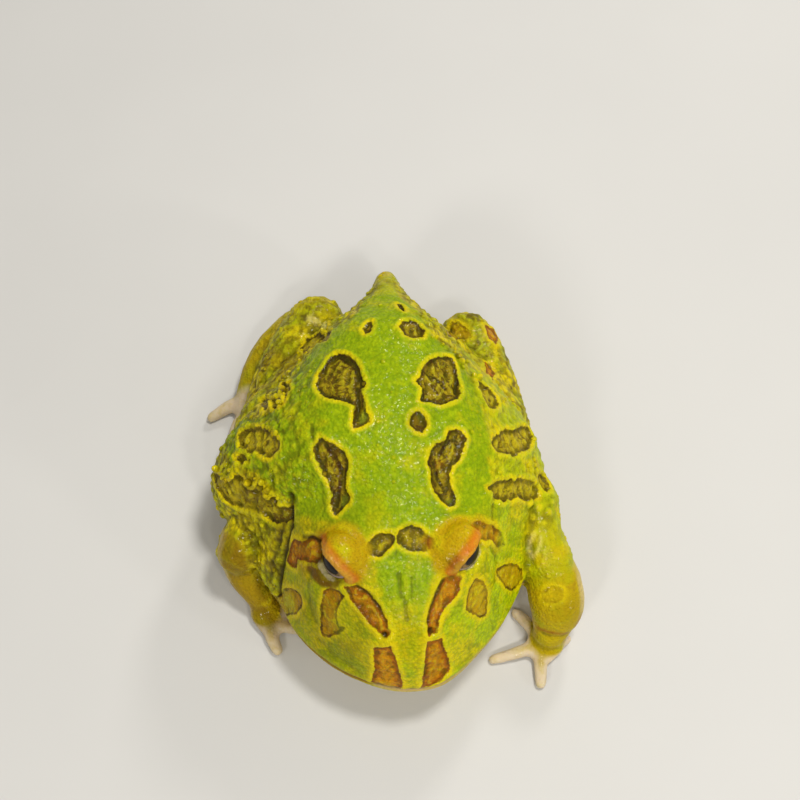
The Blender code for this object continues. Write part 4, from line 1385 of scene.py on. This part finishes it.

# %% [markdown]
# The head is brighter and more yellow than the back, with a painted olive shade on the right cheek.
# Arms and shanks are a plain olive yellow, browner on the right. The belly is cream, and fingers and
# toes are the paler the further they are from the palm.

# %% Head, limbs and belly
CHEEK_OLIVE = (0.270, 0.180, 0.002)
CHEEK_DARK = (0.190, 0.210, 0.001)
ARM_OLIVE = (0.470, 0.345, 0.003)
ARM_BROWN = (0.280, 0.140, 0.006)
CREAM = (0.760, 0.620, 0.320)
DIGIT = (0.690, 0.570, 0.400)
head_colour = layer(LEAF_YELLOW, LEAF_LIGHT, step(blotch, 0.40, 0.60))
head_colour = layer(head_colour, LEAF, step(small, 0.50, 0.72, 0.0, 0.5))
colour = layer(colour, head_colour, read("yellow_head"))
# painted shade: the right cheek is laid a darker olive
colour = layer(colour, CHEEK_OLIVE, times(read("cheek_shade"), 0.35))
cheek_marks = times(read("yellow_head"), step(brownish, 0.50, 0.64, 0.0, 0.45))
colour = layer(colour, CHEEK_DARK, cheek_marks)
arm_colour = layer(ARM_OLIVE, FLANK_GREEN, step(blotch, 0.45, 0.65, 0.0, 0.7))
arm_colour = layer(arm_colour, ARM_BROWN, step(brownish, 0.58, 0.74, 0.0, 0.4))
arm_colour = layer(arm_colour, ARM_BROWN, times(read("ruddy"), 0.45))
colour = layer(colour, arm_colour, read("arms"))
colour = layer(colour, CREAM, read("cream"))
digit_colour = layer(DIGIT, ARM_OLIVE, step(small, 0.45, 0.75, 0.0, 0.35))
colour = layer(colour, digit_colour, step(read("digits"), 0.25, 0.95))
print(len(tree.nodes), "nodes so far")

# %% [markdown]
# Real skin is set with pearls of half a millimetre to a millimetre. They can't all be faces, so a
# cell noise draws them: the gaps get a painted shade, the tops on the rough flanks a lighter colour
# that is partly painted light, and the same noise will drive the bump. On the flanks the pearls are
# drawn out along the body.

# %% Pearls in the colour
BEAD_STRETCH = (1.0, 0.62, 1.0)
BEAD_GAP = (0.110, 0.085, 0.002)
BEAD_TOP = (0.620, 0.600, 0.006)
GRAIN_GAP = (0.110, 0.200, 0.001)
bead_place = put(tree, "ShaderNodeVectorMath", operation="MULTIPLY")
wire(tree, coords, bead_place.inputs[0])
bead_place.inputs[1].default_value = BEAD_STRETCH
beads = pearls(bead_place.outputs["Vector"], 1.25)
grains = pearls(coords, 0.62)
rough_skin = step(read("warty"), 0.15, 0.8)
gaps = times(step(beads, 0.38, 0.68), rough_skin)
tops = times(step(beads, 0.08, 0.30, 1.0, 0.0), rough_skin)
gap_share = step(read("light_side"), 0.0, 1.0, 0.60, 0.22)
# painted shade in the gaps between the beads, less of it on the lighter left flank
colour = layer(colour, BEAD_GAP, times(gaps, gap_share))
# the tops of the beads: partly their own paler colour, partly painted light
colour = layer(colour, BEAD_TOP, times(tops, 0.42))
plain_skin = plus(read("green"), read("yellow_head"))
plain_skin.node.use_clamp = True
# painted shade in the gaps between the fine grains of the back and the head
smooth_gaps = times(step(grains, 0.36, 0.66), plain_skin)
colour = layer(colour, GRAIN_GAP, times(smooth_gaps, 0.30))
print(len(tree.nodes), "nodes so far")

# %% [markdown]
# ## The markings' colours
# Inside, an olive patch is a dark olive brown with lighter worm-like lines, golden bits on the
# flanks and dark veins. Rusty patches are orange brown, darker along the edge, and the rings hold a
# mixture of orange, yellow and olive. Each filling is mixed first, and cut out afterwards.

# %% Filling of the olive patches
PATCH = (0.110, 0.068, 0.002)
PATCH_LIGHT = (0.320, 0.235, 0.006)
PATCH_EDGE = (0.110, 0.056, 0.002)
FLANK_GOLD = (0.460, 0.365, 0.008)
BORDER = (0.760, 0.590, 0.002)
RIM = (0.030, 0.014, 0.002)
FOLD_DARK = (0.026, 0.011, 0.002)
LOBE = (0.150, 0.200, 0.010)
vein_noise = grain_noise(coords, 2.3, 2.0, 1.0)
veins = reckon("ABSOLUTE", reckon("SUBTRACT", vein_noise, 0.5))
veins = step(veins, 0.0, 0.06, 1.0, 0.0)
worms = grain_noise(coords, 2.0, 2.0, 1.5)
patch_skin = layer(PATCH, PATCH_LIGHT, step(worms, 0.44, 0.57))
golden_bits = times(read("outer"), step(small, 0.36, 0.48, 0.15, 1.0))
patch_skin = layer(patch_skin, FLANK_GOLD, golden_bits)
patch_edge = step(read("olive"), -1.5, -0.3, 0.0, 0.45)
patch_skin = layer(patch_skin, PATCH_EDGE, patch_edge)
patch_skin = layer(patch_skin, BORDER, step(fine, 0.60, 0.72, 0.0, 0.40))
patch_skin = layer(patch_skin, RIM, times(veins, 0.30))
folded = step(read("patch_fold"), 0.40, 0.85, 0.0, 0.90)
folded = times(folded, step(small, 0.3, 0.5, 0.5, 1.0))
patch_skin = layer(patch_skin, FOLD_DARK, folded)
patch_skin = layer(patch_skin, LOBE, times(read("lobe"), 0.85))
print(len(tree.nodes), "nodes so far")

# %% Fillings of the rusty patches and the rings
RUST = (0.360, 0.085, 0.002)
RUST_LIGHT = (0.560, 0.230, 0.003)
RING_INSIDE = (0.370, 0.175, 0.002)
inside = plus(read("rusty"), times(reckon("SUBTRACT", worms, 0.5), 3.0))
rust_skin = layer(RUST, RUST_LIGHT, step(inside, -1.5, -0.5, 1.0, 0.0))
rust_skin = layer(rust_skin, FOLD_DARK, times(veins, 0.35))
ring_skin = layer(RING_INSIDE, LEAF_YELLOW, step(worms, 0.50, 0.66, 0.0, 0.65))
ring_skin = layer(ring_skin, RUST, step(blotch, 0.54, 0.66, 0.0, 0.7))
ring_skin = layer(ring_skin, RIM, times(veins, 0.30))
ring_skin = layer(ring_skin, ARM_OLIVE, times(read("left_side"), 0.45))
print(len(tree.nodes), "nodes so far")

# %% [markdown]
# Now the three families are cut out of their distance fields. A little noise is added to each field
# first, so that no edge looks drawn with a ruler. Then come, from outside to inside, the yellow
# border, the filling and the thin dark rim. On the arms the markings are fainter.

# %% Cut out the markings
jitter = times(reckon("SUBTRACT", small, 0.5), 0.9)
jitter = plus(jitter, times(reckon("SUBTRACT", fine, 0.5), 0.35))
unevenness = step(brownish, 0.40, 0.60, 1.0, 0.45)
unevenness = times(unevenness, step(read("outer"), 0.0, 1.0, 1.0, 0.5))
FAMILIES = [
    # field, fill and its share, border's width in mm and its share, rim's width and its share
    ("olive", patch_skin, 1.0, 1.10, 0.90, 0.24, 0.85),
    ("rusty", rust_skin, 0.92, 1.60, 0.90, 0.20, 0.52),
    ("ringed", ring_skin, 0.85, 1.30, 0.75, 0.22, 0.85),
]
plain_arm = step(read("arms"), 0.3, 0.8, 1.0, 0.45)
for name, fill, fill_share, border_width, border_share, rim_width, rim_share in FAMILIES:
    far = plus(read(name), jitter)
    glow = step(far, border_width * 0.10, border_width, border_share, 0.0)
    glow = times(glow, step(brownish, 0.38, 0.58, 0.40, 1.0))
    colour = layer(colour, BORDER, glow)
    filled = times(step(far, -0.10, 0.08, fill_share, 0.0), plain_arm)
    colour = layer(colour, fill, filled)
    from_edge = reckon("ABSOLUTE", plus(far, rim_width))
    line = step(from_edge, rim_width * 0.5, rim_width * 1.7, rim_share, 0.0)
    line = times(line, plain_arm)
    colour = layer(colour, RIM, times(line, unevenness))
print(len(tree.nodes), "nodes so far")

# %% [markdown]
# The domes of the lids are golden, with an orange rim that is pinker on the right eye. Under the
# right eye lies a dark pouch, the lower lids have a pale edge that is partly painted highlight, and
# the lips are pale on the left, while a dark reddish line of painted shade lies under the lip on the
# right. Between them come the tones, partly painted shade and light, the reddened places, and a
# slight painted shade on the right side of the head and on the right arm.

# %% Lids
LID_YELLOW = (0.520, 0.340, 0.002)
LID_ORANGE = (0.560, 0.130, 0.004)
LID_PINK = (0.660, 0.245, 0.035)
LID_RED = (0.630, 0.165, 0.014)
lid_colour = layer(LID_YELLOW, LEAF_YELLOW, step(blotch, 0.45, 0.65))
lid_colour = layer(lid_colour, CHEEK_OLIVE, step(fine, 0.50, 0.68, 0.0, 0.45))
colour = layer(colour, lid_colour, read("lid_top"))
rim_pink = layer(LID_PINK, LID_RED, step(read("left_side"), 0.0, 0.1))
rim_colour = layer(LID_ORANGE, rim_pink, step(read("lid_rim"), 0.55, 1.0))
colour = layer(colour, rim_colour, step(read("lid_rim"), 0.15, 0.95))
print(len(tree.nodes), "nodes so far")

# %% Tones and reddened places
TONE_LIGHT = (0.620, 0.520, 0.004)
BROWN_SHADE = (0.070, 0.030, 0.001)
REDDISH = (0.300, 0.075, 0.006)
TONE_COLOURS = {
    "tone_gold": ARM_OLIVE,
    "pale_tone_and_light": TONE_LIGHT,
    "tone_green": LEAF_LIGHT,
    "dark_tone_and_shade": BROWN_SHADE,
}
# the darker tones are partly painted shade, the lighter ones partly painted light
for name, tone in TONE_COLOURS.items():
    colour = layer(colour, tone, read(name))
colour = layer(colour, REDDISH, read("redden"))
# painted shade on the right side of the head and the right arm
shaded = times(read("shade_side"), 0.16)
colour = layer(colour, BROWN_SHADE, shaded)
print(len(tree.nodes), "nodes so far")

# %% Pouch, lower lid and lips
LOWER_LID = (0.130, 0.056, 0.002)
LID_PALE = (0.520, 0.450, 0.360)
LIP_PALE = (0.620, 0.420, 0.200)
LIP_SHADE = (0.200, 0.070, 0.012)
colour = layer(colour, LOWER_LID, step(read("lower_lid"), 0.10, 0.9, 0.0, 0.92))
# the pale edge of the lower lids, partly painted highlight next to the eye's crescent
colour = layer(colour, LID_PALE, step(read("pale_lid"), 0.25, 0.8, 0.0, 0.8))
colour = layer(colour, LIP_PALE, step(read("lip_pale"), 0.25, 0.8, 0.0, 0.8))
# painted shade under the lip on the right, reddish brown
colour = layer(colour, LIP_SHADE, step(read("lip_shade"), 0.25, 0.8, 0.0, 0.9))
print(len(tree.nodes), "nodes so far")

# %% [markdown]
# Last come warts and tips of tubercles, lighter than what is round them, and the depth of the relief
# itself, painted into the colour: painted shade round the foot of each wart and in the hollows, a
# little painted highlight on the tops, and painted shade that makes creases nearly black. Digits and
# lids are stiller than the rest, and the same mask will hold back their bump.

# %% Tips, hollows and deep places
SHADE = (0.070, 0.070, 0.001)
TOP_HIGHLIGHT = (0.640, 0.620, 0.010)
DEEP_SHADE = (0.030, 0.016, 0.003)
still = step(read("digits"), 0.2, 0.8, 1.0, 0.25)
still = times(still, step(read("lid_top"), 0.2, 0.9, 1.0, 0.8))
tips = times(read("tip"), step(read("row"), 0.1, 0.7, 0.35, 1.0))
colour = layer(colour, BORDER, tips)
colour = layer(colour, TONE_LIGHT, step(read("wart"), 0.2, 0.9, 0.0, 0.8))
# painted shade round the foot of each wart
colour = layer(colour, FLANK_BROWN, step(read("wart_foot"), 0.2, 1.0, 0.0, 0.22))
# painted shade in the hollows and a painted highlight on the tops
deep = step(read("hollow"), 0.05, 1.1, 0.0, 0.50)
raised = step(read("hollow"), -1.1, -0.1, 0.28, 0.0)
colour = layer(colour, SHADE, times(deep, still))
colour = layer(colour, TOP_HIGHLIGHT, times(raised, still))
# painted shade that makes creases and pits nearly black
colour = layer(colour, DEEP_SHADE, step(read("deep_shade"), 0.15, 0.95, 0.0, 0.9))
wire(tree, colour, shader.inputs["Base Color"])
print(len(tree.nodes), "nodes so far")

# %% [markdown]
# ## The wet surface
# Two surfaces lie on each other, as on a real frog: the skin, which is dull and lets a little light
# in, and a thin film of water, the clear coat. Each has a bump of its own. The skin's follows the
# pearls, the film's is smoother and breaks the lamps' reflections into sparks.

# %% Dull skin under a clear film
shine = step(small, 0.3, 0.7, 0.60, 0.45)
wire(tree, shine, shader.inputs["Roughness"])
shader.inputs["Specular IOR Level"].default_value = 0.03
shader.inputs["Coat Weight"].default_value = 0.22
shader.inputs["Coat Roughness"].default_value = 0.085
shader.inputs["Subsurface Weight"].default_value = 0.12
shader.inputs["Subsurface Radius"].default_value = (1.0, 0.6, 0.2)
shader.inputs["Subsurface Scale"].default_value = 0.8 * MM
print("clear coat", round(shader.inputs["Coat Weight"].default_value, 2))

# %% Two bumps
coarse = times(beads, rough_skin)
relief = plus(times(grains, -1.1), times(coarse, -2.4))
relief = plus(relief, times(fine, 1.1))
relief = times(relief, still)
bump = put(tree, "ShaderNodeBump", Strength=0.85, Distance=0.28 * MM, Height=relief)
wire(tree, bump.outputs["Normal"], shader.inputs["Normal"])
film = plus(pearls(coords, 0.75), times(small, 1.5))
film = times(film, step(read("arms"), 0.2, 0.9, 1.0, 0.30))
wet = put(tree, "ShaderNodeBump", Strength=1.0, Distance=0.15 * MM, Height=times(film, still))
wire(tree, wet.outputs["Normal"], shader.inputs["Coat Normal"])
skin_mesh.materials.clear()
skin_mesh.materials.append(skin_paint)
print(len(tree.nodes), "nodes in the skin's material")

# %% [markdown]
# The skin is one piece, so it replaces all the flesh nodes at once. It rides on the body "root",
# the only one there is, because nothing on the frog moves.

# %% The skin takes the place of the solids
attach(skin, "root")
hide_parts(*FLESH)
print("skin:", sum(len(p.vertices) - 2 for p in skin_mesh.polygons), "triangles")

# %% [markdown]
# ## The eyes
# A horned frog's eye is a glossy ball with a pupil that lies flat, as wide as the opening lets us
# see, and an iris of bronze and silvery violet with fine dark threads. Along the lower lid the iris
# catches light from above, as a thin pale crescent. A flat iris behind a clear cornea would be
# truer, but in an opening of a few millimetres a painted ball under a clear coat looks the same and
# needs one mesh. Its attributes say how far each point lies outside the pupil, how high it is, and
# how near the lower lid.

# %% Where the lower lids are
low_points = np.flatnonzero((lids < 0.3) & (opening > 0.5))
LOWER_SKIN = KDTree(len(low_points))
for i, which in enumerate(low_points):
    LOWER_SKIN.insert(Vector(points[which]), i)
LOWER_SKIN.balance()
print(len(low_points), "points along the lower lids")

# %% A ball of mesh
GAZE = {"eye_right": (-0.78, -0.50, 0.34), "eye_left": (0.78, -0.50, 0.34)}
ROUND_PARTS, HIGH_PARTS = 72, 48


def ball(name):
    """A sphere of mesh, its pole turned to where the eye looks."""
    centre = Vector(EYE_CENTRES[name]) * MM
    gaze = Vector(GAZE[name]).normalized()
    turn = gaze.to_track_quat("Z", "Y").to_matrix().to_4x4()
    work = bmesh.new()
    bmesh.ops.create_uvsphere(
        work, u_segments=ROUND_PARTS, v_segments=HIGH_PARTS, radius=EYE_RADIUS * MM,
        matrix=Matrix.Translation(centre) @ turn)
    mesh = bpy.data.meshes.new(name + "_ball")
    work.to_mesh(mesh)
    work.free()
    for polygon in mesh.polygons:
        polygon.use_smooth = True
    return mesh


print("a ball has", ROUND_PARTS * (HIGH_PARTS - 1) + 2, "points")

# %% Two eyeballs
PUPIL_WIDE = 2.2  # half widths in mm
PUPIL_HIGH = 1.25
CRESCENT = 0.50  # mm from the lower lid


def eyeball(name):
    """The ball of an eye with the fields that its material reads."""
    mesh = ball(name)
    away = points_of(mesh) - EYE_CENTRES[name]
    ahead = unit(GAZE[name])
    across = unit(np.cross(ahead, (0.0, 0.0, 1.0)))
    above = np.cross(across, ahead)
    angle = np.arccos(np.clip(away @ ahead / EYE_RADIUS, -1, 1)) * EYE_RADIUS
    flat = np.stack([away @ across, away @ above], 1)
    flat *= (angle / np.maximum(np.linalg.norm(flat, axis=1), 1e-6))[:, None]
    pupil = np.hypot(flat[:, 0] / PUPIL_WIDE, flat[:, 1] / PUPIL_HIGH) - 1.0
    store(mesh, "pupil", pupil * PUPIL_HIGH)
    gaps = [LOWER_SKIN.find(Vector(p))[2] for p in points_of(mesh)]
    store(mesh, "crescent", ramp(CRESCENT - np.array(gaps), -0.25, 0.15))
    store(mesh, "upward", flat[:, 1])
    thing = bpy.data.objects.new(name + "_ball", mesh)
    bpy.context.scene.collection.objects.link(thing)
    return thing


eyeballs = {name: eyeball(name) for name in EYE_CENTRES}
print(len(eyeballs), "eyeballs of radius", EYE_RADIUS, "mm")

# %% [markdown]
# The iris is painted in layers too: bronze below, dark threads, the black pupil, and black again
# in the shade of the upper lid. A real eye is clear in front, so a smooth coat lies over it all.

# %% Iris and pupil
IRIS = (0.190, 0.140, 0.090)
IRIS_PALE = (0.460, 0.350, 0.350)
BRONZE = (0.300, 0.170, 0.030)
BLACK = (0.004, 0.003, 0.003)
iris_paint, tree, shader = new_material("iris_and_pupil")
read = reader(tree)
coords = tree.nodes.new("ShaderNodeTexCoord").outputs["Object"]
threads = grain_noise(coords, 0.5, 4.0, 1.5)
colour = layer(IRIS, BRONZE, step(read("upward"), -2.0, 0.5, 0.0, 0.8))
colour = layer(colour, BLACK, step(threads, 0.46, 0.60, 0.0, 0.75))
colour = layer(colour, BLACK, step(read("pupil"), 0.0, 0.25, 1.0, 0.0))
# painted shade of the upper lid, over the iris's own dark top
colour = layer(colour, BLACK, step(read("upward"), 0.3, 1.2))
# painted highlight: the pale crescent along the lower lid
colour = layer(colour, IRIS_PALE, read("crescent"))
wire(tree, colour, shader.inputs["Base Color"])
shader.inputs["Roughness"].default_value = 0.30
shader.inputs["Specular IOR Level"].default_value = 0.05
shader.inputs["Coat Weight"].default_value = 0.25
shader.inputs["Coat Roughness"].default_value = 0.02
print(len(tree.nodes), "nodes in the eye's material")

# %% The eyes take their places
for name, thing in eyeballs.items():
    thing.data.materials.append(iris_paint)
    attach(thing, "root")
    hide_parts(name)
print([thing.name for thing in eyeballs.values()])

# %% [markdown]
# ## Tubercles with Geometry Nodes
# Rows of small yellow domes mark the line where the back turns into the flank, and others are
# scattered over flanks and thighs. They repeat, so Geometry Nodes spread them: points are strewn
# over the skin with a fixed seed, thickest where a mask is high, and each gets a small dome that
# stands upright on the surface. The skin's attributes travel with the points, so each dome takes
# the colour of its place, with a paler tip. A bump would be cheaper, but it can't change the
# outline of the frog, and that is where these domes show most.

# %% Where the tubercles stand
ROW_RIGHT = [(345, 312), (330, 326), (314, 345), (300, 355), (288, 376), (283, 398), (274, 416)]
ROW_LEFT = [(437, 340), (452, 351), (462, 362), (472, 371), (478, 380)]
ROW_BAND = [(218, 468), (232, 475), (246, 481), (256, 481), (266, 489), (276, 498), (286, 503)]
ROW_WIDTH = 1.1  # mm
row = np.full(COUNT, FAR)
for line in (ROW_RIGHT, ROW_LEFT, ROW_BAND):
    row = np.minimum(row, line_distance(line))
rows = bell(row, ROW_WIDTH)
thick = np.clip(rows + 0.30 * warty * ramp(z, 8.0, 14.0), 0.0, 1.0)
thick *= (1.0 - 0.8 * patch) * (1.0 - paws) * (1.0 - lids)
store(skin_mesh, "thick", thick)
store(skin_mesh, "row", rows)
print("room for tubercles:", int((thick > 0.3).sum()), "points")

# %% [markdown]
# The node tree is built in three steps: one dome with its tip marked, the scale of each dome, and
# the tree that scatters them. Domes in a row grow taller and a little wider than the others, and a
# random number makes no two alike.

# %% One dome, with its tip marked
DOME_CUTS = 2
DOME_FACES = 20 * 4 ** (DOME_CUTS - 1)
TIP_FROM = 0.30  # share of the radius
TIP_MOST = 0.75


def dome(tree):
    """A round dome of radius 1 whose field tip rises towards its top."""
    shape = put(tree, "GeometryNodeMeshIcoSphere", Subdivisions=DOME_CUTS, Radius=1.0)
    place = tree.nodes.new("GeometryNodeInputPosition")
    parts = put(tree, "ShaderNodeSeparateXYZ", Vector=place.outputs["Position"])
    tip = put(tree, "ShaderNodeMapRange", Value=parts.outputs["Z"])
    tip.inputs["From Min"].default_value = TIP_FROM
    tip.inputs["To Max"].default_value = TIP_MOST
    kept = put(
        tree, "GeometryNodeStoreNamedAttribute", data_type="FLOAT", domain="POINT",
        Geometry=shape.outputs["Mesh"], Name="tip", Value=tip.outputs["Result"])
    return kept.outputs["Geometry"]


print("a dome has", DOME_FACES, "faces")

# %% The scale of each dome
SIZES = (0.55, 1.45)
SIZE_SEED = 11
GIRTH_IN_ROW, GIRTH = 0.35, 0.9
STATURE_IN_ROW, STATURE = 1.25, 0.45


def dome_scale(tree, radius, height):
    """Width and height of a dome: by chance, and larger in a row."""
    chance = put(tree, "FunctionNodeRandomValue", data_type="FLOAT", Seed=SIZE_SEED)
    chance.inputs[2].default_value, chance.inputs[3].default_value = SIZES
    in_row = put(tree, "GeometryNodeInputNamedAttribute", data_type="FLOAT", Name="row")
    stature = reckon("MULTIPLY_ADD", in_row.outputs["Attribute"], STATURE_IN_ROW, STATURE)
    girth = reckon("MULTIPLY_ADD", in_row.outputs["Attribute"], GIRTH_IN_ROW, GIRTH)
    wide = times(times(chance.outputs[1], radius), girth)
    high = times(times(chance.outputs[1], height), stature)
    return put(tree, "ShaderNodeCombineXYZ", X=wide, Y=wide, Z=high).outputs["Vector"]


print("domes from", SIZES[0], "to", SIZES[1], "times their usual size")

# %% The tree that scatters them
SCATTER_SEED = 5
SOCKETS = {
    "Geometry": "NodeSocketGeometry",
    "Spacing": "NodeSocketFloat",
    "Per Square Metre": "NodeSocketFloat",
    "Radius": "NodeSocketFloat",
    "Height": "NodeSocketFloat",
    "Material": "NodeSocketMaterial",
}


def tubercle_tree():
    """A node group that replaces a mesh by the domes that stand on it."""
    made = bpy.data.node_groups.new("tubercles", "GeometryNodeTree")
    for name, kind in SOCKETS.items():
        made.interface.new_socket(name, in_out="INPUT", socket_type=kind)
    made.interface.new_socket("Geometry", in_out="OUTPUT", socket_type="NodeSocketGeometry")
    given = made.nodes.new("NodeGroupInput").outputs
    where = put(made, "GeometryNodeInputNamedAttribute", data_type="FLOAT", Name="thick")
    spread = put(
        made, "GeometryNodeDistributePointsOnFaces", distribute_method="POISSON",
        Mesh=given["Geometry"], Distance_Min=given["Spacing"],
        Density_Max=given["Per Square Metre"], Density_Factor=where.outputs["Attribute"],
        Seed=SCATTER_SEED)
    bare = put(
        made, "GeometryNodeRemoveAttribute", Geometry=spread.outputs["Points"], Name="tip")
    stand = put(
        made, "GeometryNodeInstanceOnPoints", Points=bare.outputs["Geometry"],
        Instance=dome(made), Rotation=spread.outputs["Rotation"],
        Scale=dome_scale(made, given["Radius"], given["Height"]))
    real = put(made, "GeometryNodeRealizeInstances", Geometry=stand.outputs["Instances"])
    dress = put(
        made, "GeometryNodeSetMaterial", Geometry=real.outputs["Geometry"],
        Material=given["Material"])
    end = made.nodes.new("NodeGroupOutput")
    wire(made, dress.outputs["Geometry"], end.inputs["Geometry"])
    return made


TUBERCLES = tubercle_tree()
print(len(TUBERCLES.nodes), "nodes in the tree of the tubercles")

# %% Grow them
TUBERCLE = {
    "Spacing": 1.0 * MM,
    "Per Square Metre": 0.75e6,
    "Radius": 0.48 * MM,
    "Height": 0.50 * MM,
    "Material": skin_paint,
}
carrier = bpy.data.objects.new("tubercles", skin_mesh.copy())
bpy.context.scene.collection.objects.link(carrier)
grower = carrier.modifiers.new("grow", "NODES")
grower.node_group = TUBERCLES
for item in TUBERCLES.interface.items_tree:
    if item.in_out == "INPUT" and item.name in TUBERCLE:
        grower[item.identifier] = TUBERCLE[item.name]
grown_mesh = applied(carrier)
carrier.modifiers.remove(grower)
carrier.data = grown_mesh
for polygon in grown_mesh.polygons:
    polygon.use_smooth = True
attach(carrier, "root")
print("tubercles:", len(grown_mesh.polygons) // DOME_FACES, "domes")
